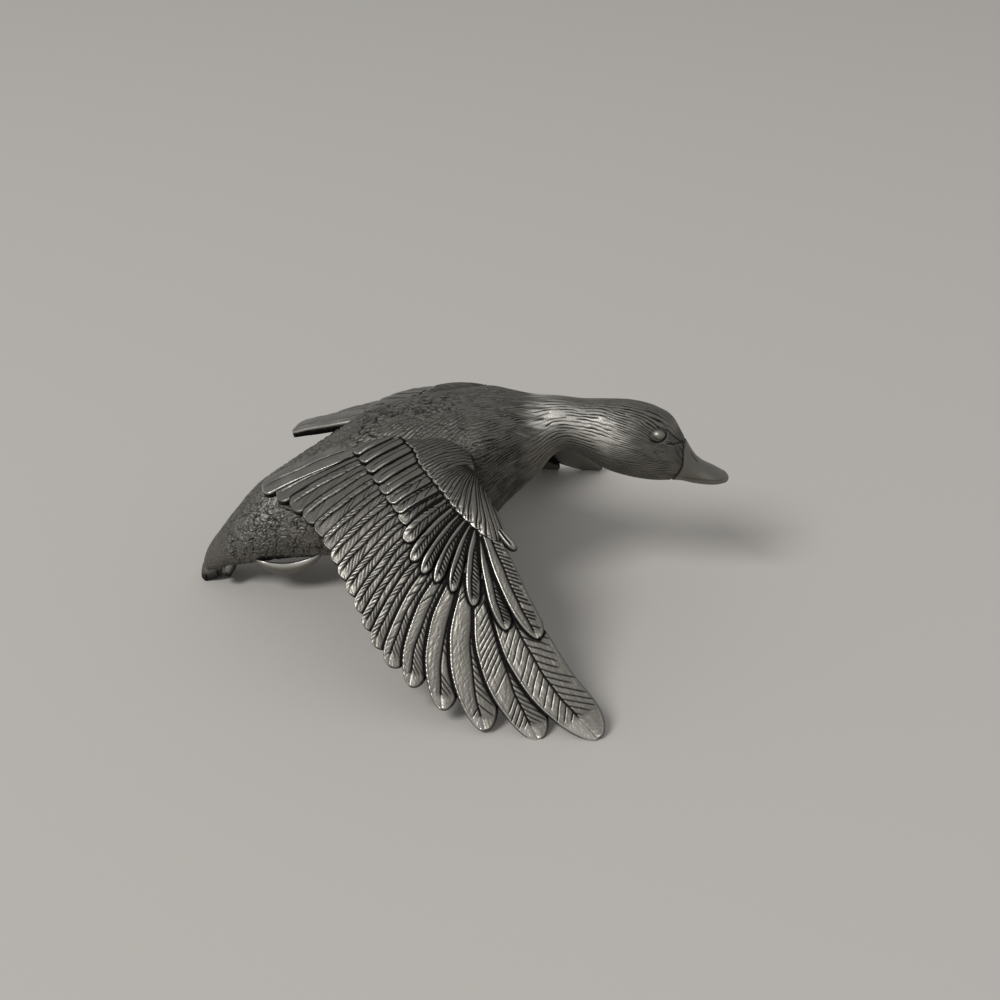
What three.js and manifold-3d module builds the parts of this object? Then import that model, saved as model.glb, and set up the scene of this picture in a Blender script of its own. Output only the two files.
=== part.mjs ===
// A cast pewter mallard in flight: a body, a tail fan, two drooping wings, two tucked feet and
// two set-in eyes, soldered together from separate castings.
// Millimetres. +X points to the bill, +Y to the bird's left, +Z up, and Z = 0 is the table.

import * as THREE from 'three';
import { mergeVertices } from 'three/addons/utils/BufferGeometryUtils.js';
import Module from 'manifold-3d';

const wasm = await Module();
wasm.setup();

// Solder gap between neighbouring castings
const seamGap = 0.4;

// Wing sheet: an arc over the shoulder, then straight down to the table
const wingRootReach = 10;
const wingRootHeight = 38.5;
const wingTipReach = 56;
const shoulderSlope = 12;
const tipSlope = 52;
const rootPitch = 0.355;
const pitchPivot = -6;
const pitchBlend = 6;

// Trunk, rump to breast: place along X, lowest and highest point, half width, and how square the
// upper half of the section is (2 is an ellipse). The back rises a little over the wing roots.
const backAboveWing = 4.4;
const backHeight = wingRootHeight + backAboveWing;
const trunkStations = [
  { x: -52.5, low: 2.2, high: 7.4, half: 3.8, square: 2 },
  { x: -50, low: 3, high: 11.4, half: 5.6, square: 2 },
  { x: -47, low: 3.9, high: 15.2, half: 7.2, square: 2 },
  { x: -42, low: 5.2, high: 20.8, half: 9.2, square: 2.1 },
  { x: -35, low: 6.6, high: 25.9, half: 11, square: 2.3 },
  { x: -26, low: 7.6, high: backHeight - 10.8, half: 12.6, square: 2.6 },
  { x: -20.5, low: 8, high: backHeight - 6.6, half: 13.1, square: 2.7 },
  { x: -15, low: 8.4, high: backHeight - 4.1, half: 13.6, square: 2.7 },
  { x: -4, low: 9.6, high: backHeight - 1.3, half: 14, square: 2.7 },
  { x: 5, low: 14.2, high: backHeight - 0.3, half: 13.6, square: 2.8 },
  { x: 11, low: 21.2, high: backHeight - 0.1, half: 10.8, square: 2.5 },
];

// Neck: share of the way from the breast to the head
const neckStations = [
  { share: 0.26, low: 26, high: 42.9, half: 8 },
  { share: 0.5, low: 31.6, high: 42.8, half: 6.2 },
  { share: 0.74, low: 31, high: 42.2, half: 5.6 },
];

// Head and bill, measured from the eye
const eyeX = 40.3;
const eyeHeight = 36.9;
const eyeRadius = 1.5;
const eyeProud = 0.75;
const headStations = [
  { ahead: -10.3, low: -9, high: 5.3, half: 5.9 },
  { ahead: -4.8, low: -10.7, high: 5, half: 6.3 },
  { ahead: 0.2, low: -11.3, high: 3.3, half: 5.8 },
  { ahead: 3.2, low: -11.2, high: 1.1, half: 4.9 },
  { ahead: 5.3, low: -11.1, high: -2.5, half: 3.9 },
  { ahead: 8.2, low: -11.7, high: -6.5, half: 3.4 },
  { ahead: 12.2, low: -11.9, high: -8.7, half: 3.7 },
  { ahead: 15, low: -11.3, high: -10.2, half: 2.2 },
];

// Shoulders: a swell on both sides that carries the neck over to the wings
const shoulderX = 6;
const shoulderLong = 6;
const shoulderSwell = 2.4;
const shoulderTurn = 30;
const shoulderWide = 18;

// Neck and head are round; a square section turns into the round belly over this band of heights
const roundSection = 2;
const squareFrom = -0.1;
const squareTo = 0.4;

const bodySides = 20;
const ringsPerStation = 2;

// Wing pattern, drawn flat: out along the sheet, forward along X
const patternSpan = 63;
const flights = {
  tips: [
    { feather: 0, out: 4.4, forward: -37.4 },
    { feather: 4, out: 21.3, forward: -24.4 },
    { feather: 8, out: 36, forward: -16.8 },
    { feather: 13, out: 54.2, forward: -5.4 },
    { feather: 15, out: 62.2, forward: 7.8 },
    { feather: 16, out: 64, forward: 17.6 },
    { feather: 17, out: 63.8, forward: 28.4 },
  ],
  bases: [
    { feather: 0, out: -2, forward: -14 },
    { feather: 4, out: 9, forward: -8 },
    { feather: 8, out: 20, forward: -3 },
    { feather: 13, out: 31, forward: 2 },
    { feather: 17, out: 36, forward: 10.4 },
  ],
  shapes: [
    { feather: 0, width: 5.8, turn: -0.34, root: 0, bow: 1 },
    { feather: 2, width: 5.2, turn: 0.23, root: 0, bow: 1 },
    { feather: 5, width: 5, turn: 0.69, root: 0, bow: 1 },
    { feather: 12, width: 4.9, turn: 0.83, root: 0, bow: 1 },
    { feather: 13, width: 5.6, turn: 0.85, root: 0, bow: 1 },
    { feather: 15, width: 8.2, turn: 0.88, root: 0, bow: 1 },
    { feather: 17, width: 9.4, turn: 0.91, root: 0, bow: 1 },
  ],
  thickness: 1.7,
  lift: 0,
};
const coverts = {
  tips: [
    { feather: 0, out: 1, forward: -19.2 },
    { feather: 4, out: 14.6, forward: -12.5 },
    { feather: 7, out: 22.2, forward: -8.3 },
    { feather: 9, out: 30.4, forward: -5.8 },
    { feather: 13, out: 39, forward: 6 },
    { feather: 14, out: 43.4, forward: 12.2 },
    { feather: 15, out: 44.8, forward: 18.2 },
  ],
  bases: [
    { feather: 0, out: -5, forward: -9 },
    { feather: 5, out: 10, forward: -1 },
    { feather: 10, out: 20, forward: 4 },
    { feather: 15, out: 24.5, forward: 8.4 },
  ],
  shapes: [
    { feather: 0, width: 4, turn: -0.8, root: -1, bow: 0 },
    { feather: 5, width: 3.5, turn: -0.57, root: -1, bow: 0 },
    { feather: 8, width: 3.4, turn: 0.29, root: -1, bow: 0.3 },
    { feather: 12, width: 2.9, turn: 0.48, root: -1, bow: 0.5 },
    { feather: 14, width: 3.9, turn: 0.58, root: -0.8, bow: 0.5 },
    { feather: 15, width: 4.8, turn: 0.63, root: -0.7, bow: 0.5 },
  ],
  thickness: 1.5,
  lift: 1.1,
};

// Most feathers lie with their inner edge over their neighbour: the roll of a whole turn, and the
// shares of a feather's length over which it rises from its root to its lift
const featherRoll = 0.35;
const rootRiseFrom = 0.1;
const rootRiseTo = 0.6;

const alulaBase = { out: 22.6, forward: 9.2 };
const alulaTip = { out: 27.2, forward: 12.8 };
const alula = { width: 2.3, thickness: 1.3, lift: 0.75, root: 0, bow: 0, roll: 0 };

// Shoulder cap: leading and trailing point, height over and depth under the sheet, root to wrist
const capStations = [
  { out: -7, front: 1, backOut: -7, back: -13, crown: 0.3, depth: 5 },
  { out: 0.5, front: 2.5, backOut: -1, back: -10.4, crown: 0.9, depth: 4.5 },
  { out: 7, front: 4.2, backOut: 4.8, back: -7.1, crown: 1.7, depth: 3.4 },
  { out: 12, front: 5.4, backOut: 9.3, back: -5.6, crown: 2.2, depth: 2.4 },
  { out: 16, front: 7.6, backOut: 15.3, back: -1.7, crown: 2.2, depth: 2 },
  { out: 20.6, front: 10, backOut: 20.7, back: 2.2, crown: 2.1, depth: 1.8 },
  { out: 25, front: 11.2, backOut: 24.8, back: 6.5, crown: 1.6, depth: 1.4 },
];

// Pegs under each wing root, let into the shoulders
const wingPegRadius = 2;
const wingPegDepth = 7;
const wingPegReach = 11.6;
const wingPegPlaces = [-9, -2];

// Tail fan under the rump: feather bases inside it, tips measured behind it
const tailTipHeight = 2.1;
const tailRise = 0.31;
const tailDish = 0.01;
const tailInset = 8;
const tailFeathers = [
  { baseY: 0, behind: 2.8, tipY: 0, width: 5.2, thickness: 5.2 },
  { baseY: 1.7, behind: -3.3, tipY: 4.6, width: 3.4, thickness: 3.2 },
];
const tailTongueIn = 6.75;
const tailTongueOut = 1.2;
const tailTongueWidth = 3;
const tailTongueThickness = 1.4;
const tailTongueLift = 1.4;

// Feet tucked back under the rump, with the outer edge rolled up and the heel end higher
const footHeelX = -28.4;
const footReach = 6.4;
const footHeight = 6.35;
const footCurl = 2.3;
const footPitch = 2.1;
const footRoll = 35;
const footKeel = 0.75;
const footCrown = 0.22;
const footStations = [
  { back: 0, half: 0.8, thick: 0.9 },
  { back: 2.6, half: 1.7, thick: 2 },
  { back: 6, half: 2.6, thick: 2.5 },
  { back: 9.4, half: 3.4, thick: 2.3 },
  { back: 12, half: 3.3, thick: 1.6 },
  { back: 13.8, half: 2, thick: 0.8 },
];
const footSides = 10;
const legRadius = 1.4;
const legBack = 4.4;
const legDepth = 9;

// Pewter finishes
const darkened = { color: 0x55534f, roughness: 0.45 };
const feathered = { color: 0x5d5b57, roughness: 0.4 };
const rubbed = { color: 0x6b6965, roughness: 0.3 };

// Facets of round pieces, the weld between their seams and the step that finds a sheet's slope
const rodSides = 12;
const eyeSides = 14;
const eyeRings = 10;
const weld = 1e-4;
const slopeStep = 0.1;

const degrees = Math.PI / 180;
const stock = 200;

function solidOf(points, faces) {
  const positions = new Float32Array(points.flatMap((p) => p.toArray()));
  let volume = 0;
  for (let f = 0; f < faces.length; f += 3) {
    const [a, b, c] = [points[faces[f]], points[faces[f + 1]], points[faces[f + 2]]];
    volume += a.dot(new THREE.Vector3().crossVectors(b, c));
  }
  const triangles = volume > 0 ? faces : [...faces].reverse();
  const mesh = { numProp: 3, vertProperties: positions, triVerts: new Uint32Array(triangles) };
  return new wasm.Manifold(new wasm.Mesh(mesh));
}

function solidFrom(geometry) {
  geometry.deleteAttribute('normal');
  geometry.deleteAttribute('uv');
  const merged = mergeVertices(geometry, weld);
  const places = merged.getAttribute('position');
  const pointAt = (_, i) => new THREE.Vector3().fromBufferAttribute(places, i);
  return solidOf(Array.from({ length: places.count }, pointAt), Array.from(merged.index.array));
}

// A closed skin over a row of rings with equal numbers of points
function loft(rings) {
  const count = rings[0].length;
  const points = rings.flat();
  const faces = [];
  for (let r = 0; r + 1 < rings.length; r++) {
    for (let i = 0; i < count; i++) {
      const a = r * count + i;
      const b = r * count + (i + 1) % count;
      faces.push(a, b, a + count, b, b + count, a + count);
    }
  }
  for (const end of [0, rings.length - 1]) {
    const centre = new THREE.Vector3();
    rings[end].forEach((p) => centre.addScaledVector(p, 1 / count));
    points.push(centre);
    for (let i = 0; i < count; i++) {
      const a = end * count + i;
      const b = end * count + (i + 1) % count;
      faces.push(points.length - 1, ...(end === 0 ? [b, a] : [a, b]));
    }
  }
  return solidOf(points, faces);
}

// A smooth line through a few control rows, read at any place along their key
function smoothLine(controls, key, fields) {
  const places = controls.map((c) => c[key]);
  const values = controls.flatMap((c) => fields.map((f) => c[f]));
  const line = new THREE.CubicInterpolant(places, values, fields.length);
  return (at) => Array.from(line.evaluate(at));
}

// Body skin, grown by a clearance for the pieces that seat against it
const breastX = trunkStations.at(-1).x;
const napeX = eyeX + headStations[0].ahead;
const bodyStations = [
  ...trunkStations,
  ...neckStations.map((st) => (
    { ...st, x: THREE.MathUtils.lerp(breastX, napeX, st.share), square: roundSection }
  )),
  ...headStations.map(({ ahead, low, high, half }) => (
    { x: eyeX + ahead, low: eyeHeight + low, high: eyeHeight + high, half, square: roundSection }
  )),
];
const bodyLine = smoothLine(bodyStations, 'x', ['low', 'high', 'half', 'square']);

// Bell-shaped along the body and round it
function shoulder(x, turn) {
  const along = (x - shoulderX) / shoulderLong;
  const around = (turn - shoulderTurn) / shoulderWide;
  return shoulderSwell * Math.exp(-along * along - around * around);
}

function bodyRing(x, grow) {
  const [low, high, half, square] = bodyLine(x);
  return Array.from({ length: bodySides }, (_, i) => {
    const turn = (i / bodySides) * 2 * Math.PI;
    const [across, up] = [Math.cos(turn), Math.sin(turn)];
    const upper = THREE.MathUtils.smoothstep(up, squareFrom, squareTo);
    const power = THREE.MathUtils.lerp(roundSection, square, upper);
    const far = (Math.abs(across) ** power + Math.abs(up) ** power) ** (-1 / power);
    const swell = shoulder(x, Math.atan2(up, Math.abs(across)) / degrees);
    const y = ((half + grow) * far + swell) * across;
    const z = (low + high) / 2 + (((high - low) / 2 + grow) * far + swell) * up;
    return new THREE.Vector3(x, y, z);
  });
}

function bodySkin(grow) {
  const rings = [];
  for (let s = 0; s + 1 < bodyStations.length; s++) {
    const from = bodyStations[s].x;
    const step = (bodyStations[s + 1].x - from) / ringsPerStation;
    for (let k = 0; k < ringsPerStation; k++) {
      rings.push(bodyRing(from + k * step, grow));
    }
  }
  rings.push(bodyRing(bodyStations.at(-1).x, grow));
  rings[0].forEach((p) => p.setX(p.x - grow));
  rings.at(-1).forEach((p) => p.setX(p.x + grow));
  return loft(rings);
}

// The wing sheet runs from beside the back to the table
const rootAngle = shoulderSlope * degrees;
const tipAngle = tipSlope * degrees;
const arcAcross = Math.sin(tipAngle) - Math.sin(rootAngle);
const arcDown = Math.cos(rootAngle) - Math.cos(tipAngle);
const wingSpread = wingTipReach - wingRootReach;
const shoulderRadius = (wingSpread * Math.sin(tipAngle) - wingRootHeight * Math.cos(tipAngle))
  / (arcAcross * Math.sin(tipAngle) - arcDown * Math.cos(tipAngle));
const arcLength = shoulderRadius * (tipAngle - rootAngle);
const straightLength = (wingSpread - shoulderRadius * arcAcross) / Math.cos(tipAngle);
const sheetLength = arcLength + straightLength;

function sheetPoint(out, forward) {
  const along = out * sheetLength / patternSpan;
  const angle = rootAngle + Math.min(along, arcLength) / shoulderRadius;
  const past = Math.max(along - arcLength, 0);
  const reach = wingRootReach + shoulderRadius * (Math.sin(angle) - Math.sin(rootAngle))
    + past * Math.cos(tipAngle);
  const drop = shoulderRadius * (Math.cos(rootAngle) - Math.cos(angle)) + past * Math.sin(tipAngle);
  const pitch = rootPitch * (1 - THREE.MathUtils.clamp(along / sheetLength, 0, 1));
  const behind = pitchPivot - forward;
  const sink = pitch * (behind + Math.hypot(behind, pitchBlend)) / 2;
  return new THREE.Vector3(forward, -reach, wingRootHeight - drop - sink);
}

// A point at a height over the wing sheet, on the right (-1) or left (1) side
function wingPoint(side, out, forward, height) {
  const here = sheetPoint(out, forward);
  const outward = sheetPoint(out + slopeStep, forward).sub(here);
  const ahead = sheetPoint(out, forward + slopeStep).sub(here);
  const normal = ahead.cross(outward).normalize();
  if (normal.z < 0) {
    normal.negate();
  }
  here.addScaledVector(normal, height);
  here.y *= -side;
  return here;
}

// Feather outline and blunt hexagonal section, as shares of length, width and thickness
const featherOutline = [[0, 0.7], [0.35, 1], [0.76, 1], [0.93, 0.74], [1, 0.28]];
const featherSection = [[-1, 0], [-0.6, 0.5], [0.6, 0.5], [1, 0], [0.6, -0.5], [-0.6, -0.5]];

function feather(place, base, tip, { width, thickness, lift, root, bow, roll }) {
  const length = Math.hypot(tip[0] - base[0], tip[1] - base[1]);
  const along = [(tip[0] - base[0]) / length, (tip[1] - base[1]) / length];
  const across = [-along[1], along[0]];
  return loft(featherOutline.map(([share, broad]) => {
    const bend = -bow * 4 * share * (1 - share);
    const sunk = root * (1 - THREE.MathUtils.smoothstep(share, rootRiseFrom, rootRiseTo));
    return featherSection.map(([s, k]) => {
      const aside = bend + s * broad * width / 2;
      const first = base[0] + along[0] * share * length + across[0] * aside;
      const second = base[1] + along[1] * share * length + across[1] * aside;
      return place(first, second, lift + sunk + k * thickness - s * broad * roll);
    });
  }));
}

function featherRow(place, row) {
  const tipLine = smoothLine(row.tips, 'feather', ['out', 'forward']);
  const baseLine = smoothLine(row.bases, 'feather', ['out', 'forward']);
  const shapeLine = smoothLine(row.shapes, 'feather', ['width', 'turn', 'root', 'bow']);
  const count = row.tips.at(-1).feather + 1;
  return Array.from({ length: count }, (_, i) => {
    const [width, turn, root, bow] = shapeLine(i);
    const { thickness, lift } = row;
    const shape = { width, thickness, lift, root, bow, roll: turn * featherRoll };
    return feather(place, baseLine(i), tipLine(i), shape);
  });
}

// Shoulder cap section from the leading edge round to the underside: [share back, top, depth]
const capSection = [
  [0, 0, 0.15], [0.15, 0.5, 0], [0.35, 0.85, 0], [0.6, 1, 0],
  [1, 0.9, 0], [1, 0, 0.2], [0.6, 0, 1], [0.15, 0, 1],
];

function shoulderCap(place) {
  return loft(capStations.map((st) => capSection.map(([back, top, under]) => {
    const out = THREE.MathUtils.lerp(st.out, st.backOut, back);
    const forward = THREE.MathUtils.lerp(st.front, st.back, back);
    return place(out, forward, top * st.crown - under * st.depth);
  })));
}

// Everything below the table plane, cut off so that the casting stands on flats
function belowTable() {
  return solidFrom(new THREE.BoxGeometry(stock, stock, stock).translate(0, 0, -stock / 2));
}

function upright(radius, length, x, y, bottom) {
  const rod = new THREE.CylinderGeometry(radius, radius, length, rodSides);
  rod.rotateX(Math.PI / 2);
  rod.translate(x, y, bottom + length / 2);
  return solidFrom(rod);
}

function wingPegs(side, grow) {
  const top = (x) => wingPoint(side, wingPegReach - wingRootReach, x, 0).z;
  return wingPegPlaces.map((x) => {
    const bottom = top(x) - wingPegDepth - grow;
    return upright(wingPegRadius + grow, top(x) - bottom, x, side * wingPegReach, bottom);
  });
}

const joined = (solids) => solids.reduce((whole, next) => whole.add(next));

function wing(side) {
  const place = (out, forward, height) => wingPoint(side, out, forward, height);
  const vanes = [flights, coverts].flatMap((row) => featherRow(place, row));
  const thumbEnds = [alulaBase, alulaTip].map((end) => [end.out, end.forward]);
  const thumb = feather(place, ...thumbEnds, alula);
  return joined([shoulderCap(place), ...vanes, thumb])
    .subtract(bodySkin(seamGap))
    .subtract(belowTable())
    .add(joined(wingPegs(side, 0)));
}

// Tail sheet: rises towards the rump and dishes up to its sides
const rumpX = trunkStations[0].x;

function tailPoint(x, y, height) {
  const rise = tailRise * (x - rumpX + tailFeathers[0].behind);
  return new THREE.Vector3(x, y, tailTipHeight + rise + tailDish * y * y + height);
}

function tailTongue(grow) {
  const long = tailTongueIn + tailTongueOut + 2 * grow;
  const wide = tailTongueWidth + 2 * grow;
  const tongue = new THREE.BoxGeometry(long, wide, tailTongueThickness + 2 * grow);
  tongue.rotateY(-Math.atan(tailRise));
  const middle = tailPoint(rumpX + (tailTongueIn - tailTongueOut) / 2, 0, tailTongueLift);
  tongue.translate(middle.x, middle.y, middle.z);
  return solidFrom(tongue);
}

function tailFan() {
  const feathers = tailFeathers.flatMap(({ baseY, behind, tipY, width, thickness }) => (
    (tipY === 0 ? [1] : [1, -1]).map((side) => {
      const base = [rumpX + tailInset, side * baseY];
      const tip = [rumpX - behind, side * tipY];
      return feather(tailPoint, base, tip, { width, thickness, lift: 0, root: 0, bow: 0, roll: 0 });
    })
  ));
  return joined(feathers).subtract(bodySkin(seamGap)).subtract(belowTable()).add(tailTongue(0));
}

// Height of a paddle's middle line
function footLine(back) {
  const fromMiddle = 2 * back / footStations.at(-1).back - 1;
  return footHeight + footCurl * fromMiddle ** 2 - footPitch / 2 * fromMiddle;
}

function leg(side, grow) {
  const x = footHeelX - legBack;
  return upright(legRadius + grow, legDepth + grow, x, side * footReach, footLine(legBack));
}

function foot(side) {
  const roll = footRoll * degrees;
  const paddle = loft(footStations.map(({ back, half, thick }) => (
    Array.from({ length: footSides }, (_, i) => {
      const turn = (i / footSides) * 2 * Math.PI;
      const out = half * Math.cos(turn);
      const up = (Math.sin(turn) > 0 ? footCrown : footKeel) * thick * Math.sin(turn);
      const y = side * (footReach + out * Math.cos(roll) - up * Math.sin(roll));
      const z = footLine(back) + out * Math.sin(roll) + up * Math.cos(roll);
      return new THREE.Vector3(footHeelX - back, y, z);
    })
  )));
  return paddle.subtract(bodySkin(seamGap)).add(leg(side, 0));
}

// The eye's centre lies below the head's skin, so that only its dome stands proud
function eye(side, grow) {
  const [low, high, half] = bodyLine(eyeX);
  const up = (2 * eyeHeight - low - high) / (high - low);
  const skin = half * Math.sqrt(1 - up * up);
  const ball = new THREE.SphereGeometry(eyeRadius + grow, eyeSides, eyeRings);
  ball.translate(eyeX, side * (skin + eyeProud - eyeRadius), eyeHeight);
  return solidFrom(ball);
}

function body() {
  const sides = [-1, 1];
  const sockets = [
    ...sides.flatMap((side) => wingPegs(side, seamGap)),
    ...sides.map((side) => leg(side, seamGap)),
    ...sides.map((side) => eye(side, seamGap)),
    tailTongue(seamGap),
  ];
  return sockets.reduce((rest, socket) => rest.subtract(socket), bodySkin(0));
}

function casting(name, solid, finish) {
  const { numProp, vertProperties, triVerts } = solid.getMesh();
  const places = new Float32Array(vertProperties.length / numProp * 3);
  for (let v = 0; v < places.length / 3; v++) {
    places.set(vertProperties.subarray(v * numProp, v * numProp + 3), v * 3);
  }
  const geometry = new THREE.BufferGeometry();
  geometry.setAttribute('position', new THREE.BufferAttribute(places, 3));
  geometry.setIndex(new THREE.BufferAttribute(new Uint32Array(triVerts), 1));
  geometry.computeVertexNormals();
  const mesh = new THREE.Mesh(geometry, new THREE.MeshStandardMaterial({ ...finish, metalness: 1 }));
  mesh.name = name;
  return mesh;
}

const mallard = new THREE.Group();
mallard.add(casting('body', body(), darkened));
mallard.add(casting('tail_fan', tailFan(), darkened));
for (const [hand, side] of [['right', -1], ['left', 1]]) {
  mallard.add(casting(`${hand}_wing`, wing(side), feathered));
  mallard.add(casting(`${hand}_foot`, foot(side), rubbed));
  mallard.add(casting(`${hand}_eye`, eye(side, 0), rubbed));
}

export default mallard;
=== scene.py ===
import bpy
import numpy as np
from mathutils import Matrix


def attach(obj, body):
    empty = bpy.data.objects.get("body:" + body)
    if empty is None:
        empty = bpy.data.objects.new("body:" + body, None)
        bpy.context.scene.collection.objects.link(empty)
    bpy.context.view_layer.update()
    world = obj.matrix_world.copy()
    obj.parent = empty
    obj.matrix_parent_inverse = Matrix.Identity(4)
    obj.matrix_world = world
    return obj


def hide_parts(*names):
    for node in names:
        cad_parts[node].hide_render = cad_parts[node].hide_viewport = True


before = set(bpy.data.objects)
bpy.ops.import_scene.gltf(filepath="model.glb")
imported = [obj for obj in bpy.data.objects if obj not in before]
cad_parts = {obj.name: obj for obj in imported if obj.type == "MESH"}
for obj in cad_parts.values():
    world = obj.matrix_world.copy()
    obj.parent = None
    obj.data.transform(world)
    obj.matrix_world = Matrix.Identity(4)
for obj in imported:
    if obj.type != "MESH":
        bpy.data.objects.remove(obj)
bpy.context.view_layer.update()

mm = 0.001  # shapes below are worked out in millimetres


# Numbers along a line, soft steps and repeatable noise

def smoothLine(places, values, at):
    # cubic through the points, each slope the mean of its two neighbouring chords
    x, y = np.asarray(places, float), np.asarray(values, float)
    chord = np.diff(y) / np.diff(x)
    slope = np.concatenate([chord[:1], (chord[:-1] + chord[1:]) / 2, chord[-1:]])
    i = np.clip(np.searchsorted(x, at, side="right") - 1, 0, len(x) - 2)
    wide = x[i + 1] - x[i]
    t = (at - x[i]) / wide
    return ((1 + 2 * t) * (1 - t) ** 2 * y[i] + t * (1 - t) ** 2 * wide * slope[i]
            + t * t * (3 - 2 * t) * y[i + 1] + t * t * (t - 1) * wide * slope[i + 1])


def softStep(low, high, value):
    # 0 below low, 1 above high, an s-curve between
    t = np.clip((value - low) / (high - low), 0, 1)
    return t * t * (3 - 2 * t)


def bell(value, wide):
    # 1 at zero, falling off as a bell over the given width
    return np.exp(-(value / wide) ** 2)


def between(value, rise, fall):
    # 1 between a soft rise and a soft fall, 0 outside them
    return softStep(*rise, value) * (1 - softStep(*fall, value))


def quarterRound(edge, radius):
    # height share of a rounded edge: 0 on the outline, 1 from the radius inwards
    return np.sqrt(np.clip(1 - (1 - np.clip(edge / radius, 0, 1)) ** 2, 0, 1))


def hashed(ix, iy, seed):
    # whole numbers scrambled to 0..1, the same on every run
    h = (ix * 374761393 + iy * 668265263 + seed * 144269504) & 0xFFFFFFFF
    h = ((h ^ (h >> 13)) * 1274126177) & 0xFFFFFFFF
    return ((h ^ (h >> 16)) & 0xFFFFFF) / 0xFFFFFF


def grainNoise(x, y, seed):
    # gradient noise: each lattice corner pushes along its own direction, blended by s-curves
    ix, iy = np.floor(x).astype(np.int64), np.floor(y).astype(np.int64)
    fx, fy = x - ix, y - iy
    total = np.zeros(np.broadcast(x, y).shape)
    for cx in (0, 1):
        for cy in (0, 1):
            turn = 2 * np.pi * hashed(ix + cx, iy + cy, seed)
            push = np.cos(turn) * (fx - cx) + np.sin(turn) * (fy - cy)
            wx = softStep(0, 1, 1 - np.abs(fx - cx))
            wy = softStep(0, 1, 1 - np.abs(fy - cy))
            total = total + wx * wy * push
    return total * 1.6  # stretched to about -1..1


def gouges(x, y, seed, thin):
    # thin winding cuts where two layers of noise, the second finer and fainter, add up to zero
    n = grainNoise(x, y, seed) + 0.45 * grainNoise(2.1 * x + 7.3, 1.9 * y - 3.1, seed + 11)
    return bell(n, thin)


def patches(low, high, x, y, size, seed):
    # soft patches: noise of one grain size, stepped from 0 to 1
    return softStep(low, high, grainNoise(x / size, y / size, seed))


def combed(lane, along, pitch, comb, seed):
    # cuts side by side along a flow, counted by lane: each sways, breaks off and starts again
    sway = grainNoise(along / comb["swing"], lane / 2.3, seed)
    sway = sway + 0.4 * grainNoise(along / (0.4 * comb["swing"]), lane / 1.4, seed + 1)
    lane = lane + comb["sway"] * sway
    number = np.round(lane).astype(np.int64)
    start = 40 * hashed(number, 0, seed)  # each lane reads a stretch of noise of its own
    live = grainNoise(along / comb["run"] + start, 0.83 * number + 0.31, seed + 2)
    return bell((lane - number) * pitch, comb["thin"]) * softStep(-comb["kept"], 0.25 - comb["kept"], live)


def scaleRows(along, across, scale, seed):
    # rounded scales in staggered rows, each over the one behind it.
    # Gives the height towards each free edge, the dark line under that edge, the distance in from
    # it and the distance from the scale's middle line.
    long, wide, wander = scale["long"], scale["wide"], scale["wander"]
    step = long / 1.9  # rows lie a little closer than half a scale
    half = 0.62 * wide  # and neighbours overlap
    row = np.floor(along / step).astype(np.int64)
    height, line, beside = (np.zeros(along.shape) for _ in range(3))
    inside = np.full(along.shape, long)
    free = np.ones(along.shape, bool)
    for ahead in (3, 2, 1, 0):
        r = row + ahead
        shift = (r % 2) * 0.5
        column = np.floor(across / wide - shift + 0.5).astype(np.int64)
        for sideways in (-1, 0, 1):
            c = column + sideways
            middle = (r + wander * (hashed(r, c, seed) - 0.5)) * step
            side = across - (c + shift + wander * (hashed(r, c, seed + 5) - 0.5)) * wide
            reach = np.sqrt(np.clip(1 - (side / half) ** 2, 0, 1))
            gap = along - (middle - long * reach)
            within = free & (np.abs(side) < half)
            covers = within & (gap > 0)
            height = np.where(covers, 1 - np.clip(gap / long, 0, 1), height)
            inside = np.where(covers, gap, inside)
            beside = np.where(covers, side, beside)
            line = np.where(within & (gap <= 0), np.maximum(line, bell(gap, scale["line"])), line)
            free = free & ~covers
    return height, line, inside, beside


# Skins: closed grids of rings, put into meshes with their patina, painted shade and painted highlights

def addObject(name, data):
    # an object in the scene for a mesh, a lamp or a camera
    made = bpy.data.objects.new(name, data)
    bpy.context.scene.collection.objects.link(made)
    return made


def outward(points, faces):
    # six times the volume that the faces close, positive when they look outwards
    a, b, c = (points[faces[:, k]] for k in (0, 1, 2))
    return np.einsum("ij,ij->", a, np.cross(b, c))


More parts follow.
